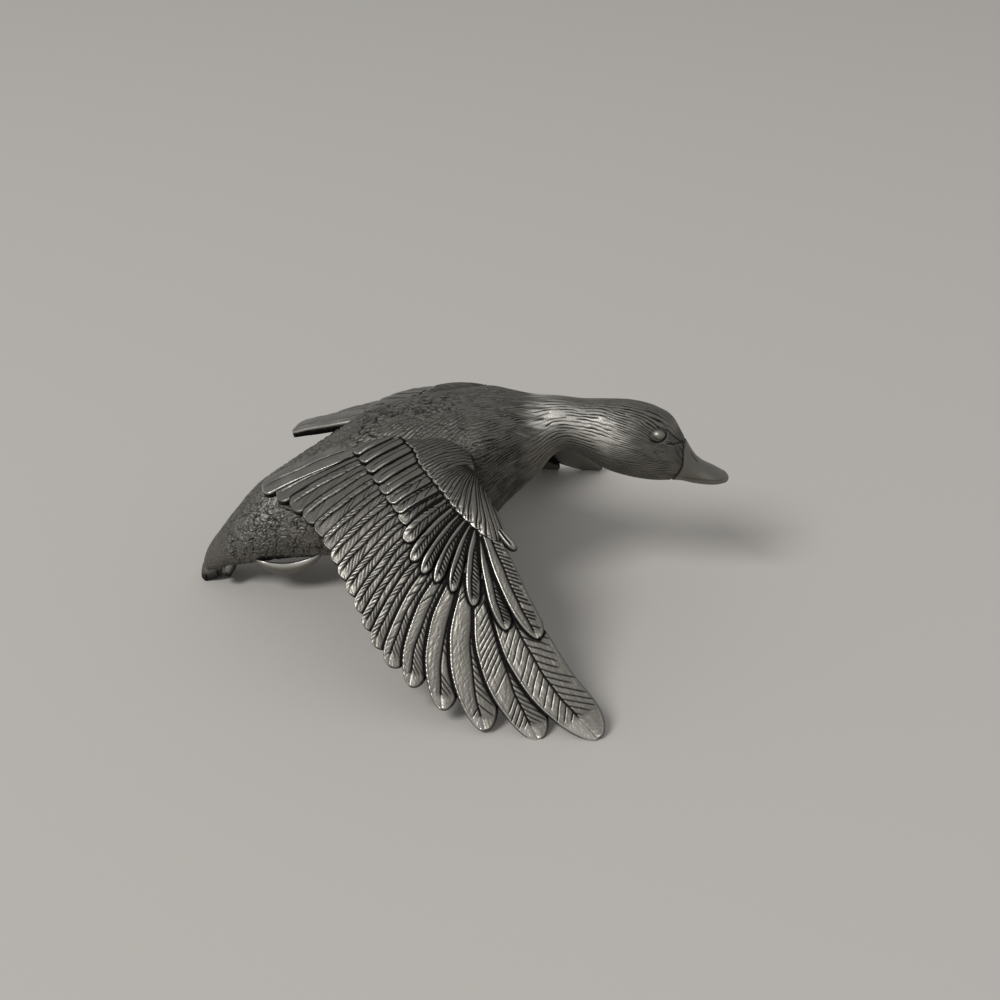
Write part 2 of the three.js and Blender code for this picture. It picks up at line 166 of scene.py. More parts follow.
def makePiece(name, skins, finish, slot, *nodes):
    # each skin is a grid of rings: quads join the rings, wrap round them and close both ends to a point
    corners, quads, fans, patinaAndShade, rubAndHighlight = [], [], [], [], []
    start = 0
    for points, dark, bright in skins:
        rings, around = points.shape[:2]
        index = np.arange(rings * around).reshape(rings, around)
        beside = np.roll(index, -1, axis=1)
        first, last = rings * around, rings * around + 1
        quad = np.stack([index[:-1], beside[:-1], beside[1:], index[1:]], -1).reshape(-1, 4)
        fan = np.concatenate([
            np.stack([beside[0], index[0], np.full(around, first)], -1),
            np.stack([index[-1], beside[-1], np.full(around, last)], -1),
        ])
        flat = np.concatenate([points.reshape(-1, 3), points[:1].mean(1), points[-1:].mean(1)])
        if outward(flat, np.concatenate([quad[:, :3], quad[:, [0, 2, 3]], fan])) < 0:
            quad, fan = quad[:, ::-1], fan[:, ::-1]
        corners.append(flat)
        quads.append(quad + start)
        fans.append(fan + start)
        # the dark grid carries patina and painted shade, the bright grid rubbed wear and painted highlights
        for store, grid in ((patinaAndShade, dark), (rubAndHighlight, bright)):
            grid = np.broadcast_to(grid, (rings, around))
            store.append(np.concatenate([grid.ravel(), [grid[0].mean(), grid[-1].mean()]]))
        start += len(flat)
    corners, quads, fans = np.concatenate(corners), np.concatenate(quads), np.concatenate(fans)
    mesh = bpy.data.meshes.new(name)
    mesh.vertices.add(len(corners))
    mesh.vertices.foreach_set("co", (corners * mm).astype(np.float32).ravel())
    mesh.loops.add(quads.size + fans.size)
    mesh.loops.foreach_set("vertex_index", np.concatenate([quads.ravel(), fans.ravel()]).astype(np.int32))
    mesh.polygons.add(len(quads) + len(fans))
    starts = np.concatenate([np.arange(len(quads)) * 4, quads.size + np.arange(len(fans)) * 3])
    mesh.polygons.foreach_set("loop_start", starts.astype(np.int32))
    mesh.polygons.foreach_set("use_smooth", np.arange(len(starts)) < len(quads))  # the end fans stay flat
    for label, grids in (("patinaAndShade", patinaAndShade), ("rubAndHighlight", rubAndHighlight)):
        layer = mesh.attributes.new(label, "FLOAT", "POINT")
        layer.data.foreach_set("value", np.clip(np.concatenate(grids), 0, 1).astype(np.float32))
    mesh.update(calc_edges=True)
    mesh.validate()
    piece = addObject(name, mesh)
    mesh.materials.append(finish)
    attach(piece, "root")
    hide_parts(*nodes)
    print(name, 2 * len(quads) + len(fans), "triangles")


def raised(points, height):
    # moves a grid of rings along its own normals by a height
    along = np.gradient(points, axis=0)
    wrapped = np.concatenate([points[:, -1:], points, points[:, :1]], axis=1)
    around = (wrapped[:, 2:] - wrapped[:, :-2]) / 2
    normal = np.cross(along, around)
    normal /= np.maximum(np.linalg.norm(normal, axis=2, keepdims=True), 1e-9)
    middle = points.mean(axis=1, keepdims=True)
    if ((points - middle) * normal).sum() < 0:
        normal = -normal
    return points + normal * height[..., None]


# Shader sums: a wrapped socket that adds a Math node for each operator

class Wire:
    def __init__(self, tree, socket):
        self.tree, self.socket = tree, socket

    def node(self, kind, settings=None, output=0, **values):
        made = self.tree.nodes.new(kind)
        for key, value in (settings or {}).items():
            setattr(made, key, value)
        for key, value in values.items():
            socket = made.inputs[int(key[1:])] if key[1:].isdigit() else made.inputs[key.replace("_", " ")]
            if isinstance(value, Wire):
                self.tree.links.new(value.socket, socket)
            else:
                socket.default_value = value
        return Wire(self.tree, made.outputs[output])

    def math(self, operation, first, second=0.0):
        return self.node("ShaderNodeMath", {"operation": operation}, i0=first, i1=second)

    def __add__(self, other):
        return self.math("ADD", self, other)

    def __sub__(self, other):
        return self.math("SUBTRACT", self, other)

    def __mul__(self, other):
        return self.math("MULTIPLY", self, other)

    def __rsub__(self, other):
        return self.math("SUBTRACT", other, self)

    __radd__ = __add__
    __rmul__ = __mul__

    def clamped(self, low, high):
        return self.node("ShaderNodeClamp", None, Value=self, Min=low, Max=high)

    def blend(self, first, second):
        # a colour between two colours, by this wire
        return self.node("ShaderNodeMix", {"data_type": "RGBA"}, 2, i0=self, i6=first, i7=second)


def pewter(name, look):
    # bare grey metal, darkened by the stain that stays in the cuts and by painted shade, and brightened where
    # it is rubbed and where a highlight is painted
    material = bpy.data.materials.new(name)
    material.use_nodes = True
    tree = material.node_tree
    shader = tree.nodes["Principled BSDF"]
    start = Wire(tree, None)
    patinaAndShade = start.node("ShaderNodeAttribute", {"attribute_name": "patinaAndShade"}, 2)
    rubAndHighlight = start.node("ShaderNodeAttribute", {"attribute_name": "rubAndHighlight"}, 2)
    place = start.node("ShaderNodeTexCoord", None, 3)
    # every noise stands about 0.5
    cloud, speck, grain = (
        start.node("ShaderNodeTexNoise", None, 0, Vector=place, Scale=look[kind + "Scale"], Detail=detail)
        for kind, detail in (("cloud", 4.0), ("speck", 3.0), ("grain", 2.0)))
    # the stain here sums patina and painted shade from the mesh with patchy tone from noise; the shine sums
    # rubbed wear and painted highlights
    stain = patinaAndShade * look["stainGain"] + (cloud - 0.5) * look["cloudStain"]
    stain = (stain + (speck - 0.5) * look["speckStain"]).clamped(0.0, 1.0)
    shine = (rubAndHighlight * (0.75 + 0.5 * cloud) + (speck - 0.62) * look["speckShine"]).clamped(0.0, 1.0)
    colour = stain.blend(look["bare"], look["stainAndShadeColour"])
    colour = (shine * (1 - stain)).blend(colour, look["bright"])
    rough = look["rough"] + stain * look["stainRough"] - shine * look["shineSmooth"] + (speck - 0.5) * 0.12
    bump = start.node("ShaderNodeBump", None, 0, Height=grain,
                      Strength=look["grainStrength"], Distance=look["grainDepth"])
    for socket, wire in (
        ("Base Color", colour),
        ("Roughness", rough.clamped(0.12, 0.9)),
        ("Metallic", 1 - stain * look["stainDull"]),
        ("Normal", bump),
    ):
        tree.links.new(wire.socket, shader.inputs[socket])
    shader.inputs["Specular IOR Level"].default_value = 0.15
    return material


antiqued = pewter("antiqued_pewter", {
    "bare": (0.184, 0.175, 0.155, 1), "stainAndShadeColour": (0.008, 0.0075, 0.007, 1), "bright": (0.74, 0.72, 0.66, 1),
    "rough": 0.5, "stainGain": 1.1, "stainRough": 0.25, "shineSmooth": 0.14, "stainDull": 0.4,
    "cloudScale": 190.0, "cloudStain": 0.3, "speckScale": 2600.0, "speckStain": 0.45, "speckShine": 0.35,
    "grainScale": 3600.0, "grainStrength": 0.5, "grainDepth": 0.0001,
})
feathered = pewter("feathered_pewter", {
    "bare": (0.185, 0.175, 0.155, 1), "stainAndShadeColour": (0.006, 0.0057, 0.0052, 1), "bright": (0.6, 0.58, 0.53, 1),
    "rough": 0.4, "stainGain": 1.5, "stainRough": 0.28, "shineSmooth": 0.15, "stainDull": 0.4,
    "cloudScale": 190.0, "cloudStain": 0.25, "speckScale": 2600.0, "speckStain": 0.45, "speckShine": 0.45,
    "grainScale": 3600.0, "grainStrength": 0.35, "grainDepth": 0.00007,
})
rubbed = pewter("rubbed_pewter", {
    "bare": (0.22, 0.21, 0.19, 1), "stainAndShadeColour": (0.01, 0.0095, 0.009, 1), "bright": (0.6, 0.58, 0.54, 1),
    "rough": 0.46, "stainGain": 1.0, "stainRough": 0.3, "shineSmooth": 0.14, "stainDull": 0.4,
    "cloudScale": 240.0, "cloudStain": 0.2, "speckScale": 2600.0, "speckStain": 0.18, "speckShine": 0.3,
    "grainScale": 6000.0, "grainStrength": 0.25, "grainDepth": 0.00005,
})
print("pewter finishes made")


# Wing sheet: an arc over the shoulder, then straight down to the table

wingSheet = {
    "rootReach": 10.0, "rootHeight": 38.5, "tipReach": 56.0, "shoulderSlope": 12.0, "tipSlope": 52.0,
    "rootPitch": 0.355, "pitchPivot": -6.0, "pitchBlend": 6.0, "span": 63.0,
}
rootAngle, tipAngle = np.radians([wingSheet["shoulderSlope"], wingSheet["tipSlope"]])
spread = wingSheet["tipReach"] - wingSheet["rootReach"]
arcAcross = np.sin(tipAngle) - np.sin(rootAngle)
arcDown = np.cos(rootAngle) - np.cos(tipAngle)
shoulderRadius = ((spread * np.sin(tipAngle) - wingSheet["rootHeight"] * np.cos(tipAngle))
                  / (arcAcross * np.sin(tipAngle) - arcDown * np.cos(tipAngle)))
arcLength = shoulderRadius * (tipAngle - rootAngle)
sheetLength = arcLength + (spread - shoulderRadius * arcAcross) / np.cos(tipAngle)


def sheetPoint(out, forward):
    # out along the bent sheet and forward along X; behind the pivot the inner sheet sinks to the rump
    along = out * sheetLength / wingSheet["span"]
    angle = rootAngle + np.minimum(along, arcLength) / shoulderRadius
    past = np.maximum(along - arcLength, 0)
    reach = (wingSheet["rootReach"] + shoulderRadius * (np.sin(angle) - np.sin(rootAngle))
             + past * np.cos(tipAngle))
    drop = shoulderRadius * (np.cos(rootAngle) - np.cos(angle)) + past * np.sin(tipAngle)
    pitch = wingSheet["rootPitch"] * (1 - np.clip(along / sheetLength, 0, 1))
    behind = wingSheet["pitchPivot"] - forward
    sink = pitch * (behind + np.hypot(behind, wingSheet["pitchBlend"])) / 2
    return np.stack([forward, -reach, wingSheet["rootHeight"] - drop - sink], -1)


def wingPoint(side, out, forward, height):
    # a height over the sheet along its normal, on the right (-1) or left (1) side
    step = 0.05
    here = sheetPoint(out, forward)
    normal = np.cross(sheetPoint(out + step, forward) - here, sheetPoint(out, forward + step) - here)
    normal /= np.linalg.norm(normal, axis=-1, keepdims=True)
    normal *= np.sign(normal[..., 2:])
    here = here + normal * np.asarray(height)[..., None]
    return here * np.array([1, -side, 1])


# Shoulder cap over the feather roots

shoulderCap = {
    "out": [-7, 0.5, 7, 12, 16, 20.6, 24.6, 26.2], "front": [1, 2.5, 4.2, 5.4, 7.6, 10, 11.1, 10.6],
    "backOut": [-7, -1, 4.8, 9.3, 15.3, 20.7, 24.8, 26.2],
    "back": [-13, -10.4, -7.1, -5.6, -1.7, 2.2, 6.5, 8.8],
    "crown": [0.3, 0.9, 1.7, 2.2, 2.2, 2.1, 1.6, 1.1], "depth": [5, 4.5, 3.4, 2.4, 2, 1.8, 1.4, 1],
    "section": [(0, 0), (0.15, 0.5), (0.35, 0.85), (0.6, 1), (0.85, 0.97), (1, 0.9)],
    "blend": 2.4, "edgeRound": 0.4, "scallop": 2.05, "scallopReach": 0.55, "lineDepth": 0.2,
    "notchDepth": 0.25, "rows": 300, "faces": 150, "under": 8,
    "focus": (7.8, 4.9), "flow": (0.55, -0.83), "fanRadius": 9.0, "linePitch": 0.43,
    "lines": {"swing": 4.0, "sway": 0.3, "run": 5.0, "kept": 1.2, "thin": 0.15},
    "fineLines": {"swing": 3.0, "sway": 0.35, "run": 4.0, "kept": 0.7, "thin": 0.1},
}


def capEdge(out):
    # forward place of the cap's free edge at a place out along the wing
    return np.interp(out, shoulderCap["backOut"], shoulderCap["back"])


def capRise(share):
    # share of the crown's height, from the leading edge (0) to the free edge (1)
    return smoothLine(*zip(*shoulderCap["section"]), share)


def outAt(reach):
    # place out along the sheet at a distance from the middle, for places on the shoulder's arc
    bent = np.arcsin(np.clip((reach - wingSheet["rootReach"]) / shoulderRadius + np.sin(rootAngle), -1, 1))
    return (bent - rootAngle) * shoulderRadius * wingSheet["span"] / sheetLength


def capLines(out, forward):
    # cuts that run off the back side by side and fan round the front of the shoulder
    cap = shoulderCap
    fromFocus = np.stack(np.broadcast_arrays(out - cap["focus"][0], forward - cap["focus"][1]), -1)
    flow = np.array(cap["flow"]) / np.hypot(*cap["flow"])
    down = fromFocus @ flow
    inward = fromFocus @ np.array([flow[1], -flow[0]])
    away = np.hypot(down, inward)
    onBack = inward > 0
    lane = np.where(onBack, -inward, np.arctan2(-inward, down) * cap["fanRadius"]) / cap["linePitch"]
    pitch = cap["linePitch"] * np.where(onBack, 1, away / cap["fanRadius"])
    coarse = combed(lane / 2, down, 2 * pitch, cap["lines"], 62)
    fine = combed(lane / 2 + 0.5, down, 2 * pitch, cap["fineLines"], 64)
    room = np.where(onBack, 9, away)  # cuts fade where the fan closes up
    return np.maximum(coarse, 0.8 * fine * softStep(3, 6, room)) * softStep(0.8, 2.4, room)


# Body: rings from the rump to the bill tip, with a squarer back

body = {
    "x": [-54.5, -52.5, -50, -47, -42, -35, -26, -20.5, -15, -4, 5, 11, 15.94, 20.5, 25.06,
          30, 35.5, 40.5, 43.5, 45.6, 48.5, 52.5, 55.3],
    "low": [1.2, 2, 3, 3.9, 5.2, 6.6, 7.6, 8, 8.4, 9.6, 14.2, 21.2, 26, 31.6, 31,
            27.9, 26.2, 25.5, 25.5, 25.4, 24.9, 25, 25.6],
    "high": [4.9, 8, 11.4, 15.2, 20.8, 25.9, 32.1, 36.3, 38.8, 41.6, 42.6, 42.8, 42.9, 42.8, 42.4,
             42.5, 42.3, 40.9, 38.9, 35.3, 30.6, 27.9, 26.5],
    "half": [2.9, 4, 5.6, 7.2, 9.2, 11, 12.6, 13.1, 13.6, 14, 13.6, 10.8, 8, 6.2, 5.6,
             5.9, 6.3, 5.8, 4.9, 3.9, 3.4, 3.4, 2],
    "square": [2, 2, 2, 2, 2.1, 2.3, 2.6, 2.7, 2.7, 2.7, 2.8, 2.5, 2, 2, 2, 2, 2, 2, 2, 2, 2, 2, 2],
    "shoulder": {"x": 6, "long": 6, "swell": 2.4, "turn": 30, "wide": 18},
    "rumpRound": 1.6, "tipRound": 0.9, "trunkStep": 0.21, "headStep": 0.14, "headFrom": 8.0, "around": 400,
    "pieces": [("mallard_rump", -60, -20), ("mallard_back", -20, 8),
               ("mallard_neck", 8, 30), ("mallard_head", 30, 60)],
    "tongue": 6, "tongueSink": 0.002,
    "eye": (40.35, 37.25), "eyeFlat": 0.78, "eyeAngle": 0.72, "billBase": 45.7,
    "breastLines": 140, "neckLines": 54, "headLines": 92,
    "breastHair": {"swing": 4.0, "sway": 0.6, "run": 4.2, "kept": 1.1, "thin": 0.14},
    "neckHair": {"swing": 3.2, "sway": 0.34, "run": 4.6, "kept": 0.5, "thin": 0.13},
    "headHair": {"swing": 3.4, "sway": 0.4, "run": 3.4, "kept": 0.8, "thin": 0.1},
    "backBark": {"swing": 2.2, "sway": 0.9, "run": 2.2, "kept": 0.3, "thin": 0.17}, "barkPitch": 1.1,
    "backScratch": {"swing": 2.4, "sway": 0.7, "run": 1.5, "kept": 0.15, "thin": 0.1}, "scratchPitch": 0.62,
    "rumpScale": {"long": 2.9, "wide": 3.1, "wander": 0.8, "line": 0.33, "bend": 0.4,
                  "ringPitch": 0.75, "strokePitch": 0.5},
    "scaleHigh": 0.32, "pitDeep": 0.07,
    # where each kind of carving comes or goes, along x unless it says angle, out or high
    "zones": {"flankAngle": (0.9, 1.5), "rump": (-27, -19), "rumpEnd": (-51, -44), "back": (-35, -28),
              "capOut": (-7, -2.5), "capHigh": (30, 34), "capBack": (-17, -12), "capFront": (1, 5),
              "scratch": (-32, -25), "scratchEnd": (8, 14), "scratchAngle": (1.1, 1.5), "pits": (-30, -20),
              "breast": (-2, 5), "breastEnd": (13, 20), "neck": (12, 17), "head": (29, 33)},
    # depth and stain of each kind of cut
    "cuts": {"hair": (0.17, 1), "bark": (0.24, 0.95), "scales": (0.42, 1),
             "caps": (shoulderCap["lineDepth"], 0.85), "scratch": (0.13, 0.75)},
    # lore, brow and mouth: a point x, z on the line, its fall and half width, where it comes and goes
    # along x, where it starts beside the middle, depth and stain
    "creases": [
        (43, 35.3, 0.2, 0.18, (41.8, 42.4), (45.3, 45.9), (0.8, 1.6), 0.2, 0.9),
        (42.1, 38.1, 1.02, 0.2, (41.5, 42.3), (45.7, 46.2), (0.8, 1.6), 0.2, 0.85),
        (46, 27.1, 0.06, 0.18, (45, 46.4), (53.5, 54.6), (-2, -1), 0.08, 0.4),
    ],
    "eyeRing": {"radius": 1.65, "thin": 0.26, "deep": 0.3, "stain": 1.0},
    "billLine": {"thin": 0.22, "deep": 0.25, "stain": 0.95},
    "nostril": {"aside": 1.45, "thin": 0.25, "deep": 0.16, "stain": 0.7},
}


def bodyRings():
    # rings of y = half sin, z = middle + tall cos, pushed out on the upper half to a squarer section and
    # swelling to the shoulders; the rump and the bill tip round off
    rump, tip = body["x"][0], body["x"][-1]
    rumpRound, tipRound = body["rumpRound"], body["tipRound"]
    x = np.concatenate([
        rump + rumpRound * (1 - np.cos(np.linspace(0.12, np.pi / 2, 14))),
        np.arange(rump + rumpRound + 0.2, body["headFrom"], body["trunkStep"]),
        np.arange(body["headFrom"], tip - tipRound, body["headStep"]),
        tip - tipRound * (1 - np.sin(np.linspace(0, np.pi / 2 - 0.12, 10))),
    ])
    low, high, half, square = (smoothLine(body["x"], body[key], x)
                               for key in ("low", "high", "half", "square"))
    shrink = np.sqrt(np.clip(1 - ((rump + rumpRound - x).clip(0) / rumpRound) ** 2, 0.02, 1))
    shrink *= np.sqrt(np.clip(1 - ((x - tip + tipRound).clip(0) / tipRound) ** 2, 0.02, 1))
    share = np.linspace(-1, 1, body["around"], endpoint=False)
    turn = np.pi * (0.72 * share + 0.28 * share ** 3)  # from the belly over the back, closer on top
    power = 2 + (square[:, None] - 2) * softStep(-0.1, 0.4, np.cos(turn))
    out = (np.abs(np.sin(turn)) ** power + np.abs(np.cos(turn)) ** power) ** (-1 / power)
    tall = (high - low) / 2 * shrink
    shoulder = body["shoulder"]
    slope = np.degrees(np.arctan2(np.cos(turn), np.abs(np.sin(turn))))
    swell = shoulder["swell"] * bell(x - shoulder["x"], shoulder["long"])[:, None]
    swell = swell * bell(slope - shoulder["turn"], shoulder["wide"])
    points = np.stack(np.broadcast_arrays(
        x[:, None],
        ((half * shrink)[:, None] * out + swell) * np.sin(turn),
        ((high + low) / 2)[:, None] + (tall[:, None] * out + swell) * np.cos(turn),
    ), -1)
    return points, turn


def carveHair(x, z, angle, along, girth):
    # combed cuts from the breast to the crown, bent over and under the eye as a stream past a post
    eyeX, eyeZ = body["eye"]
    fromEye = np.hypot(x - eyeX, z - eyeZ)
    eyeAngle = np.sign(angle) * body["eyeAngle"]
    fromTop = np.abs(angle)
    flow = eyeAngle + (angle - eyeAngle) * (1 - bell(fromEye, 2.2) * 0.2 * (x > 30))
    steep = 0.035 * np.clip(x - 29, 0, 12) * between(fromTop, (0, 1), (1.1, 1.9))
    flow = flow - np.sign(angle) * steep
    drift = 1.5 * grainNoise(along / 4, angle * 3, 5)
    toNeck, toHead = (softStep(*body["zones"][key], x + drift) for key in ("neck", "head"))
    hair = np.zeros(x.shape)
    parts = (("breast", 1 - toNeck, 21), ("neck", toNeck * (1 - toHead), 23), ("head", toHead, 25))
    for part, weight, seed in parts:
        lines = body[part + "Lines"]
        cuts = combed(flow / (2 * np.pi) * lines, along, girth / lines, body[part + "Hair"], seed)
        hair = np.maximum(hair, weight * cuts)
    cheek = softStep(33, 37, x) * softStep(1.15, 1.5, fromTop)  # fainter cuts on the cheek
    return hair * (0.6 + 0.4 * softStep(-0.3, 0.3, grainNoise(along / 3, angle * 6, 7))) * (1 - 0.1 * cheek)


def carveScales(along, across):
    # scales with a cut edge, a ring or two inside it and short strokes on some of them
    scale = body["rumpScale"]
    bent = along + scale["bend"] * grainNoise(along / 3, across / 3, 41)
    height, edge, inside, beside = scaleRows(bent, across, scale, 42)
    broken = patches(-0.25, 0.25, along, across, 2.2, 43)
    rings = bell(np.sin(np.pi * (inside - 0.1) / scale["ringPitch"]), 0.3)
    rings = rings * between(inside, (0.35, 0.6), (1.2, 1.7)) * broken
    strokes = bell(np.sin(np.pi * beside / scale["strokePitch"]), 0.4)
    strokes = strokes * between(inside, (0.3, 0.6), (1.1, 1.6)) * (1 - broken)
    strokes = strokes * patches(0, 0.3, along, across, 2.5, 44)
    nicks = gouges(along / 1.7, across / 1.3, 45, 0.12) * patches(0, 0.3, along, across, 3, 46)
    chips = gouges(along / 1.1, across / 0.8, 47, 0.11) * patches(0.1, 0.4, along, across, 4, 48)
    edge = edge * (0.3 + 0.7 * patches(-0.3, 0.1, along, across, 2.6, 49))  # worn away here and there
    return height, np.maximum.reduce([edge, 0.8 * rings, 0.8 * strokes, nicks, 0.75 * chips])


def carveFace(x, y, z):
    # the ring round the eye, brow and lore creases, the bill's base, the nostril and the mouth
    eyeX, eyeZ = body["eye"]
    aside = np.abs(y)
    fromEye = np.hypot(x - eyeX, (z - eyeZ) / body["eyeFlat"])
    below = (0.5 * (x - eyeX) - 0.87 * (z - eyeZ)) / np.maximum(fromEye, 0.1)  # 1 below and before the eye
    ring, base, nostril = body["eyeRing"], body["billLine"], body["nostril"]
    # the eye's ring is cut deeper and stained darker below and before the eye: cut and patina, and painted
    # shade under the dome
    marks = [
        (softStep(0.8, 1.6, aside) * bell(fromEye - ring["radius"], ring["thin"])
         * (0.4 + 0.6 * softStep(-0.7, 0.4, below)), ring["deep"], ring["stain"]),
        (bell(billPlace(x, z), base["thin"]), base["deep"], base["stain"]),
        (bell(aside - nostril["aside"], nostril["thin"]) * between(x, (47, 47.5), (48.6, 49.1))
         * softStep(28.5, 29, z), nostril["deep"], nostril["stain"]),
    ]
    for atX, atZ, fall, thin, come, go, start, deep, dark in body["creases"]:
        line = bell(z - (atZ - fall * (x - atX)), thin) * between(x, come, go)
        marks.append((line * softStep(*start, aside), deep, dark))
    cut = sum(deep * mark for mark, deep, _ in marks)
    return cut, np.maximum.reduce([dark * mark for mark, _, dark in marks])


def billPlace(x, z):
    # distance ahead of the bill's base line, which runs back below the cheek
    return x - body["billBase"] - 0.6 * softStep(33.2, 35.2, z) + 2.2 * softStep(0.35, 1, (34 - z) / 9)


def capSwell(x, y, z):
    # where the shoulder caps come out of the back, the skin swells to meet them: the smooth larger of the two
    cap = shoulderCap
    out = outAt(np.abs(y))
    crown, front = (np.interp(out, cap["out"], cap[key]) for key in ("crown", "front"))
    share = np.clip((front - x) / (front - capEdge(out)), 0, 1)
    rise = capRise(share)
    over = sheetPoint(out, x)[..., 2] + rise * crown
    proud = (over - z) / cap["blend"]
    inCap = softStep(0, 2.5, x - capEdge(out)) * softStep(29, 33, z) * (1 - softStep(-11, 2, x - front))
    return cap["blend"] * np.where(proud > 1, 1, np.clip(proud + 1, 0, 2) ** 2 / 4) * inCap


def runningLength(points, axis):
    # length along the lines of a grid up to each of its points
    steps = np.linalg.norm(np.diff(points, axis=axis), axis=2)
    return np.insert(np.cumsum(steps, axis=axis), 0, 0, axis=axis)


def carveBody(points, turn):
    # hair on breast, neck and head, bark-like gouges on the back, scales on the rump, a plain bill
    x, y, z = points[..., 0], points[..., 1], points[..., 2]
    across, along = runningLength(points, 1), runningLength(points, 0)
    girth = across[:, -1:]
    top = len(turn) // 2
    across = across - across[:, top:top + 1]
    angle = np.broadcast_to(turn, x.shape)
    fromTop = np.abs(angle)
    zone = body["zones"]

    def ragged(measure, amount, size, seed):
        # a measure that noise makes uneven, so that zones don't end in a line
        return measure + amount * grainNoise(x / size, across / size, seed)

    flank = softStep(*zone["flankAngle"], fromTop)  # hair reaches further back on the flanks
    hairMask = softStep(-3 - 3 * flank, 6 - 2 * flank, ragged(x, 3, 5, 3))
    rumpMask = 1 - softStep(*zone["rump"], ragged(x, 3, 6, 4))
    rumpMask = rumpMask * (0.15 + 0.85 * softStep(*zone["rumpEnd"], ragged(x, 2, 3, 10)))
    backMask = np.clip(1 - hairMask - rumpMask, 0, 1) * softStep(*zone["back"], x)
    out = outAt(np.abs(y))
    capMask = softStep(*zone["capOut"], ragged(out, 1.5, 4, 6)) * softStep(*zone["capHigh"], z)
    capMask = capMask * softStep(*zone["capBack"], x) * (1 - softStep(*zone["capFront"], ragged(x, 2, 3, 8)))
    hairMask, backMask, rumpMask = (mask * (1 - capMask) for mask in (hairMask, backMask, rumpMask))

    patch = bell(np.hypot((x - 43.9) / 1.4, (z - 38.2) / 1.5), 1)  # smooth forehead
    hair = carveHair(x, z, angle, along, girth) * (1 - 0.85 * patch)
    bark = combed(across / body["barkPitch"], along, body["barkPitch"], body["backBark"], 31)
    bark = np.maximum(bark, gouges(along / 2.3, across / 1.5, 33, 0.13))
    scratch = combed(across / body["scratchPitch"], along, body["scratchPitch"], body["backScratch"], 35)
    scratch = scratch * between(x, zone["scratch"], zone["scratchEnd"])
    scratch = scratch * (1 - softStep(*zone["scratchAngle"], fromTop))
    height, scales = carveScales(along, across)
    layers = {"hair": hairMask * hair, "bark": backMask * bark, "scales": rumpMask * scales,
              "caps": capMask * capLines(out, x), "scratch": scratch}
    soft = 1 - softStep(0, 0.4, billPlace(x, z))  # none of these on the bill
    faceCut, faceStain = carveFace(x, y, z)
    pits = grainNoise(along / 0.55, across / 0.5, 12) * (1 - softStep(*zone["pits"], x))
    cut = soft * sum(body["cuts"][key][0] * layer for key, layer in layers.items())
    cut = cut + faceCut + body["pitDeep"] * pits
    lift = soft * rumpMask * height * body["scaleHigh"]
    stain = soft * np.maximum.reduce([body["cuts"][key][1] * layer for key, layer in layers.items()])
    # painted shade on the breast's sides and underside, which face away from the lamp
    dusky = 0.14 * softStep(0.75, 1.1, fromTop) * between(x, zone["breast"], zone["breastEnd"]) * hairMask
    dusky = dusky + 0.35 * bell(x - 3.5, 5) * bell(fromTop - 0.95, 0.3)  # before the wings
    dusky = dusky + 0.4 * softStep(0.1, 0.6, pits)
    stain = np.maximum(stain + dusky * (1 - stain), faceStain)
    shoulderSide = fromTop - (0.55 + 0.75 * softStep(15, 31, x))  # the neck's polish and painted highlight run down to the cheek
    streak = grainNoise(along / 6, across / 0.7, 9)
    # polish on the upper neck together with a painted highlight where the lamp's reflection falls
    polishAndHighlight = softStep(12.5, 18, x + 4 * streak) * (1 - softStep(30, 37, x + 3 * streak))
    polishAndHighlight = polishAndHighlight * bell(shoulderSide, 0.5) * (0.85 + 0.7 * streak)
    rubAndHighlight = soft * (1.2 * polishAndHighlight + 0.22 * height * rumpMask) * (1 - hair)
    return lift - cut, capSwell(x, y, z), stain, rubAndHighlight


def buildBody():
    points, turn = bodyRings()
    relief, swell, stain, rubAndHighlight = carveBody(points, turn)
    x = points[:, 0, 0]
    points = raised(points, relief)
    points[..., 2] += swell
    for name, start, stop in body["pieces"]:
        # each piece runs on for a few rings under its neighbour, sinking by a hair
        first, last = np.searchsorted(x, [start, stop])
        ring = np.arange(max(first - body["tongue"], 0), min(last + body["tongue"], len(x) - 1) + 1)
        past = np.maximum(np.maximum(first - ring, ring - last), 0)
        sunk = np.repeat(-body["tongueSink"] * past[:, None] ** 2.0, len(turn), axis=1)
        makePiece(name, [(raised(points[ring], sunk), stain[ring], rubAndHighlight[ring])], antiqued,
                  "antiqued_pewter", "body")


buildBody()


# Feathers: closed vanes with a cut shaft, herringbone barbs and rounded edges, brightened by rubbed wear and
# painted highlights

def makeVane(base, tip, seed, values):
    # the plan of one feather: where it starts, its directions along and across, and how it is cut
    way = np.array(tip) - np.array(base)
    ahead = way / np.hypot(*way)
    return {"base": np.array(base), "long": np.hypot(*way), "ahead": ahead,
            "aside": np.array([-ahead[1], ahead[0]]), "seed": seed, **values}


def featherRow(row):
    # the vanes of a row, with what varies read off its few control feathers
    vanes = []
    for i in range(row["count"]):
        own = {key: float(smoothLine(list(line), list(line.values()), np.float64(i)))
               for key, line in row["varied"].items()}
        luck = hashed(i, row["seed"], 77) - 0.5  # no two feathers are cut quite alike
        own["pitch"] *= 1 + row["uneven"] * luck
        own["innerSlant"] *= 1 - row["uneven"] * luck
        base, tip = ((own[end + "Out"], own[end + "Ahead"]) for end in ("base", "tip"))
        vanes.append(makeVane(base, tip, row["seed"] + 13 * i, {**plainVane, **row["fixed"], **own}))
    return vanes


def overlying(vanes, i):
    # the neighbours that lie over feather i: those whose touching edge is rolled higher than its own
    outer = [v for v in vanes[i + 1:i + 3] if v["roll"] >= -vanes[i]["roll"]]
    inner = [v for v in vanes[max(i - 2, 0):i] if -v["roll"] > vanes[i]["roll"]]
    return outer + inner


